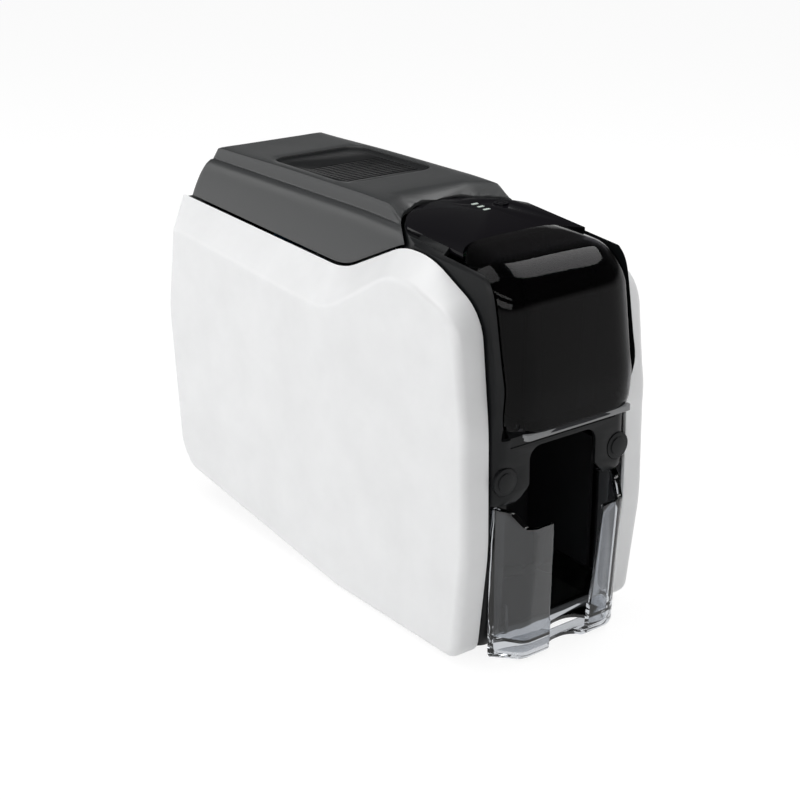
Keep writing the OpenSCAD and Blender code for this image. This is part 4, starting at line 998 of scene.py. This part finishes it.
def release_button():
    """The ribbed press plate with the stems and the key that reach the latch."""
    top = CREST_Z + ROOF_RISE - 1.6
    plate = prism("release_plate", rounded_box(-38, 4, 38, 98, 13.4), top - 2.4, top, "Z")
    ribs = [block("rib gap", (-30, 14 + 4 * k, top - 0.6), (30, 15.6 + 4 * k, top + 1))
            for k in range(12)]
    combine(plate, ribs)
    round_edges(plate, 0.35, 40, 2)
    stems = [prism("stem", circle(x, y, 3, 32), 259.2, top - 2.2, "Z")
             for x in (-28, 28) for y in (20, 86)]
    stems.append(block("latch key", (-6, 1, 265), (6, 12, top - 2.2)))
    combine(plate, stems, "UNION")
    return dress(plate, "charcoal_moulding", "release", "release_button")


class CARDPRINTER_OT_top_cover(bpy.types.Operator):
    """Build the hinged roof and its release button"""

    bl_idname = "cardprinter.top_cover"
    bl_label = "Top cover"

    def execute(self, context):
        top_cover()
        release_button()
        return {"FINISHED"}


# ---- CAD nodes that stay: their own finishes, and rounded edges ----
CAD_EDGES = {"rear_panel": 0.6, "base_tray": 0.6, "rubber_feet": 0.5, "slot_bezel": 0.3,
             "input_hopper": 0.3, "output_chute": 0.3, "printhead": 0.4, "power_button": 0.25}


class CARDPRINTER_OT_inner_finishes(bpy.types.Operator):
    """Give every carried-over node its finish, and rounded edges to the nodes listed in CAD_EDGES
    """

    bl_idname = "cardprinter.inner_finishes"
    bl_label = "Inner finishes"

    def execute(self, context):
        slots = {part["node"]: part["material_slot"] for part in frame["record"]["subparts"]}
        for node, obj in frame["nodes"].items():
            obj.data.materials.clear()
            obj.data.materials.append(material(slots[node]))
            if node in CAD_EDGES:
                bevel = obj.modifiers.new("rounded edges", "BEVEL")
                bevel.width = CAD_EDGES[node] * MM
                bevel.segments = 2
                bevel.limit_method = "ANGLE"
                bevel.angle_limit = math.radians(40)
        return {"FINISHED"}


# ---- Studio ----
def white_backdrop(tree, lit, strength, share, gloss_fade=None):
    """Mixes a lit shader with plain white where the camera, gloss or glass sees it."""
    path = tree.nodes.new("ShaderNodeLightPath")
    gloss = path.outputs["Is Glossy Ray"]
    if gloss_fade:
        gloss = math_node(tree, "MULTIPLY", gloss, gloss_fade)
    seen = math_node(tree, "MAXIMUM", path.outputs["Is Camera Ray"], gloss)
    seen = math_node(tree, "MAXIMUM", seen, path.outputs["Is Transmission Ray"])
    white = tree.nodes.new("ShaderNodeEmission")
    white.inputs["Color"].default_value = (1, 1, 1, 1)
    white.inputs["Strength"].default_value = strength
    mix = tree.nodes.new("ShaderNodeMixShader")
    tree.links.new(math_node(tree, "MULTIPLY", seen, share), mix.inputs[0])
    tree.links.new(lit.outputs[0], mix.inputs[1])
    tree.links.new(white.outputs[0], mix.inputs[2])
    return mix


WORLD_LIGHT = 0.40
WORLD_GLOSS_LOSS = 0.85


def studio_floor():
    floor = mesh_object("studio_floor", [(-9000, -9000, 0), (9000, -9000, 0),
                                         (9000, 9000, 0), (-9000, 9000, 0)], [(0, 1, 2, 3)])
    mat, tree, surface = new_material("studio_floor")
    surface.inputs["Base Color"].default_value = (0.9, 0.9, 0.9, 1)
    surface.inputs["Roughness"].default_value = 0.9
    surface.inputs["Specular IOR Level"].default_value = 0.0
    output = next(n for n in tree.nodes if n.type == "OUTPUT_MATERIAL")
    mix = white_backdrop(tree, surface, 1.1, 0.8)
    tree.links.new(mix.outputs[0], output.inputs["Surface"])
    floor.data.materials.append(mat)


def horizon_fade(tree, high):
    """One near the horizon and high above it, so that gloss stays dark towards the zenith."""
    split = tree.nodes.new("ShaderNodeSeparateXYZ")
    tree.links.new(tree.nodes.new("ShaderNodeTexCoord").outputs["Generated"], split.inputs[0])
    fade = tree.nodes.new("ShaderNodeMapRange")
    tree.links.new(split.outputs["Z"], fade.inputs["Value"])
    for label, value in (("From Min", 0.04), ("From Max", 0.20), ("To Min", 1.0),
                         ("To Max", high)):
        fade.inputs[label].default_value = value
    return fade.outputs["Result"]


def studio_world():
    world = bpy.data.worlds.new("studio")
    world.use_nodes = True
    tree = world.node_tree
    background = tree.nodes["Background"]
    background.inputs["Color"].default_value = (1.0, 1.0, 1.0, 1)
    path = tree.nodes.new("ShaderNodeLightPath")
    dim = math_node(tree, "SUBTRACT", 1.0,
                    math_node(tree, "MULTIPLY", path.outputs["Is Glossy Ray"],
                              WORLD_GLOSS_LOSS))
    tree.links.new(math_node(tree, "MULTIPLY", dim, WORLD_LIGHT), background.inputs["Strength"])
    output = tree.nodes["World Output"]
    mix = white_backdrop(tree, background, 1.0, 1.0, horizon_fade(tree, 0.0))
    tree.links.new(mix.outputs[0], output.inputs["Surface"])
    bpy.context.scene.world = world


def softbox(name, place, target, width, height, power, gloss_only=False):
    """A rectangular lamp that looks at a target; one for gloss alone adds no light."""
    light = bpy.data.lights.new(name, "AREA")
    light.shape = "RECTANGLE"
    light.size, light.size_y = width, height
    light.energy = power
    obj = bpy.data.objects.new(name, light)
    bpy.context.scene.collection.objects.link(obj)
    obj.visible_diffuse = not gloss_only
    obj.location = place
    obj.rotation_euler = (Vector(target) - Vector(place)).to_track_quat("-Z", "Y").to_euler()


PHOTO_FOCAL_PIXELS = 1580.2
PHOTO_WIDTH_PIXELS = 800
SENSOR_WIDTH = 36


def photo_camera():
    """The camera of the photograph: a long lens, level, left of the front and above."""
    azimuth, elevation, distance = math.radians(37.31), math.radians(21.45), 1.11745
    target = Vector((-0.00156, -0.00621, 0.1161))
    way = Vector((math.sin(azimuth) * math.cos(elevation),
                  math.cos(azimuth) * math.cos(elevation), -math.sin(elevation)))
    data = bpy.data.cameras.new("camera")
    data.lens = PHOTO_FOCAL_PIXELS / PHOTO_WIDTH_PIXELS * SENSOR_WIDTH
    data.sensor_width = SENSOR_WIDTH
    camera = bpy.data.objects.new("camera", data)
    bpy.context.scene.collection.objects.link(camera)
    camera.location = target - way * distance
    camera.rotation_euler = way.to_track_quat("-Z", "Y").to_euler()
    bpy.context.scene.camera = camera


# Name, place and target in metres, width, height, watts, and whether it shows only in gloss
LAMPS = [
    ("left_wall", (-1.9, 0.1, 0.45), (0, 0.05, 0.12), 1.6, 1.0, 6.2),
    ("overhead", (-0.5, 0.2, 1.7), (0, 0, 0.15), 1.3, 1.0, 11),
    ("rear_left", (-1.3, 1.5, 0.95), (0, 0, 0.2), 1.3, 0.7, 6),
    ("curve_top", (0.85, -0.2, 1.4), (0, -0.1, 0.2), 0.9, 0.7, 8),
    ("front_low", (-1.1, -1.0, 0.72), (0, -0.15, 0.2), 2.4, 0.34, 9, True),
    ("front_high", (-1.0, -0.9, 1.2), (0, -0.15, 0.2), 2.4, 0.14, 4, True)]


class CARDPRINTER_OT_stage(bpy.types.Operator):
    """Set the floor, the soft lights and the camera"""

    bl_idname = "cardprinter.stage"
    bl_label = "Stage"

    def execute(self, context):
        bpy.context.scene.view_settings.view_transform = "Standard"
        photo_camera()
        studio_floor()
        studio_world()
        for lamp in LAMPS:
            softbox(*lamp)
        return {"FINISHED"}


# ---- Panel in the sidebar ----
STEPS = [CARDPRINTER_OT_stage, CARDPRINTER_OT_inner_finishes, CARDPRINTER_OT_side_covers,
         CARDPRINTER_OT_nose, CARDPRINTER_OT_control_panel, CARDPRINTER_OT_door,
         CARDPRINTER_OT_bin, CARDPRINTER_OT_top_cover]


class CARDPRINTER_PT_mouldings(bpy.types.Panel):
    """Sizes, colours and build steps of the card printer"""

    bl_label = "Card Printer"
    bl_idname = "CARDPRINTER_PT_mouldings"
    bl_space_type = "VIEW_3D"
    bl_region_type = "UI"
    bl_category = "Card Printer"

    def draw(self, context):
        for group in (context.scene.card_printer_shape, context.scene.card_printer_finish):
            box = self.layout.box()
            for name in group.__annotations__:
                box.prop(group, name)
        for step in STEPS:
            self.layout.operator(step.bl_idname)


CLASSES = [CardPrinterShape, CardPrinterFinish, *STEPS, CARDPRINTER_PT_mouldings]


def register():
    for cls in CLASSES:
        bpy.utils.register_class(cls)
    bpy.types.Scene.card_printer_shape = PointerProperty(type=CardPrinterShape)
    bpy.types.Scene.card_printer_finish = PointerProperty(type=CardPrinterFinish)


def unregister():
    del bpy.types.Scene.card_printer_finish
    del bpy.types.Scene.card_printer_shape
    for cls in reversed(CLASSES):
        bpy.utils.unregister_class(cls)


def main():
    register()
    for step in STEPS:
        group, name = step.bl_idname.split(".")
        getattr(getattr(bpy.ops, group), name)()


if __name__ == "__main__":
    main()
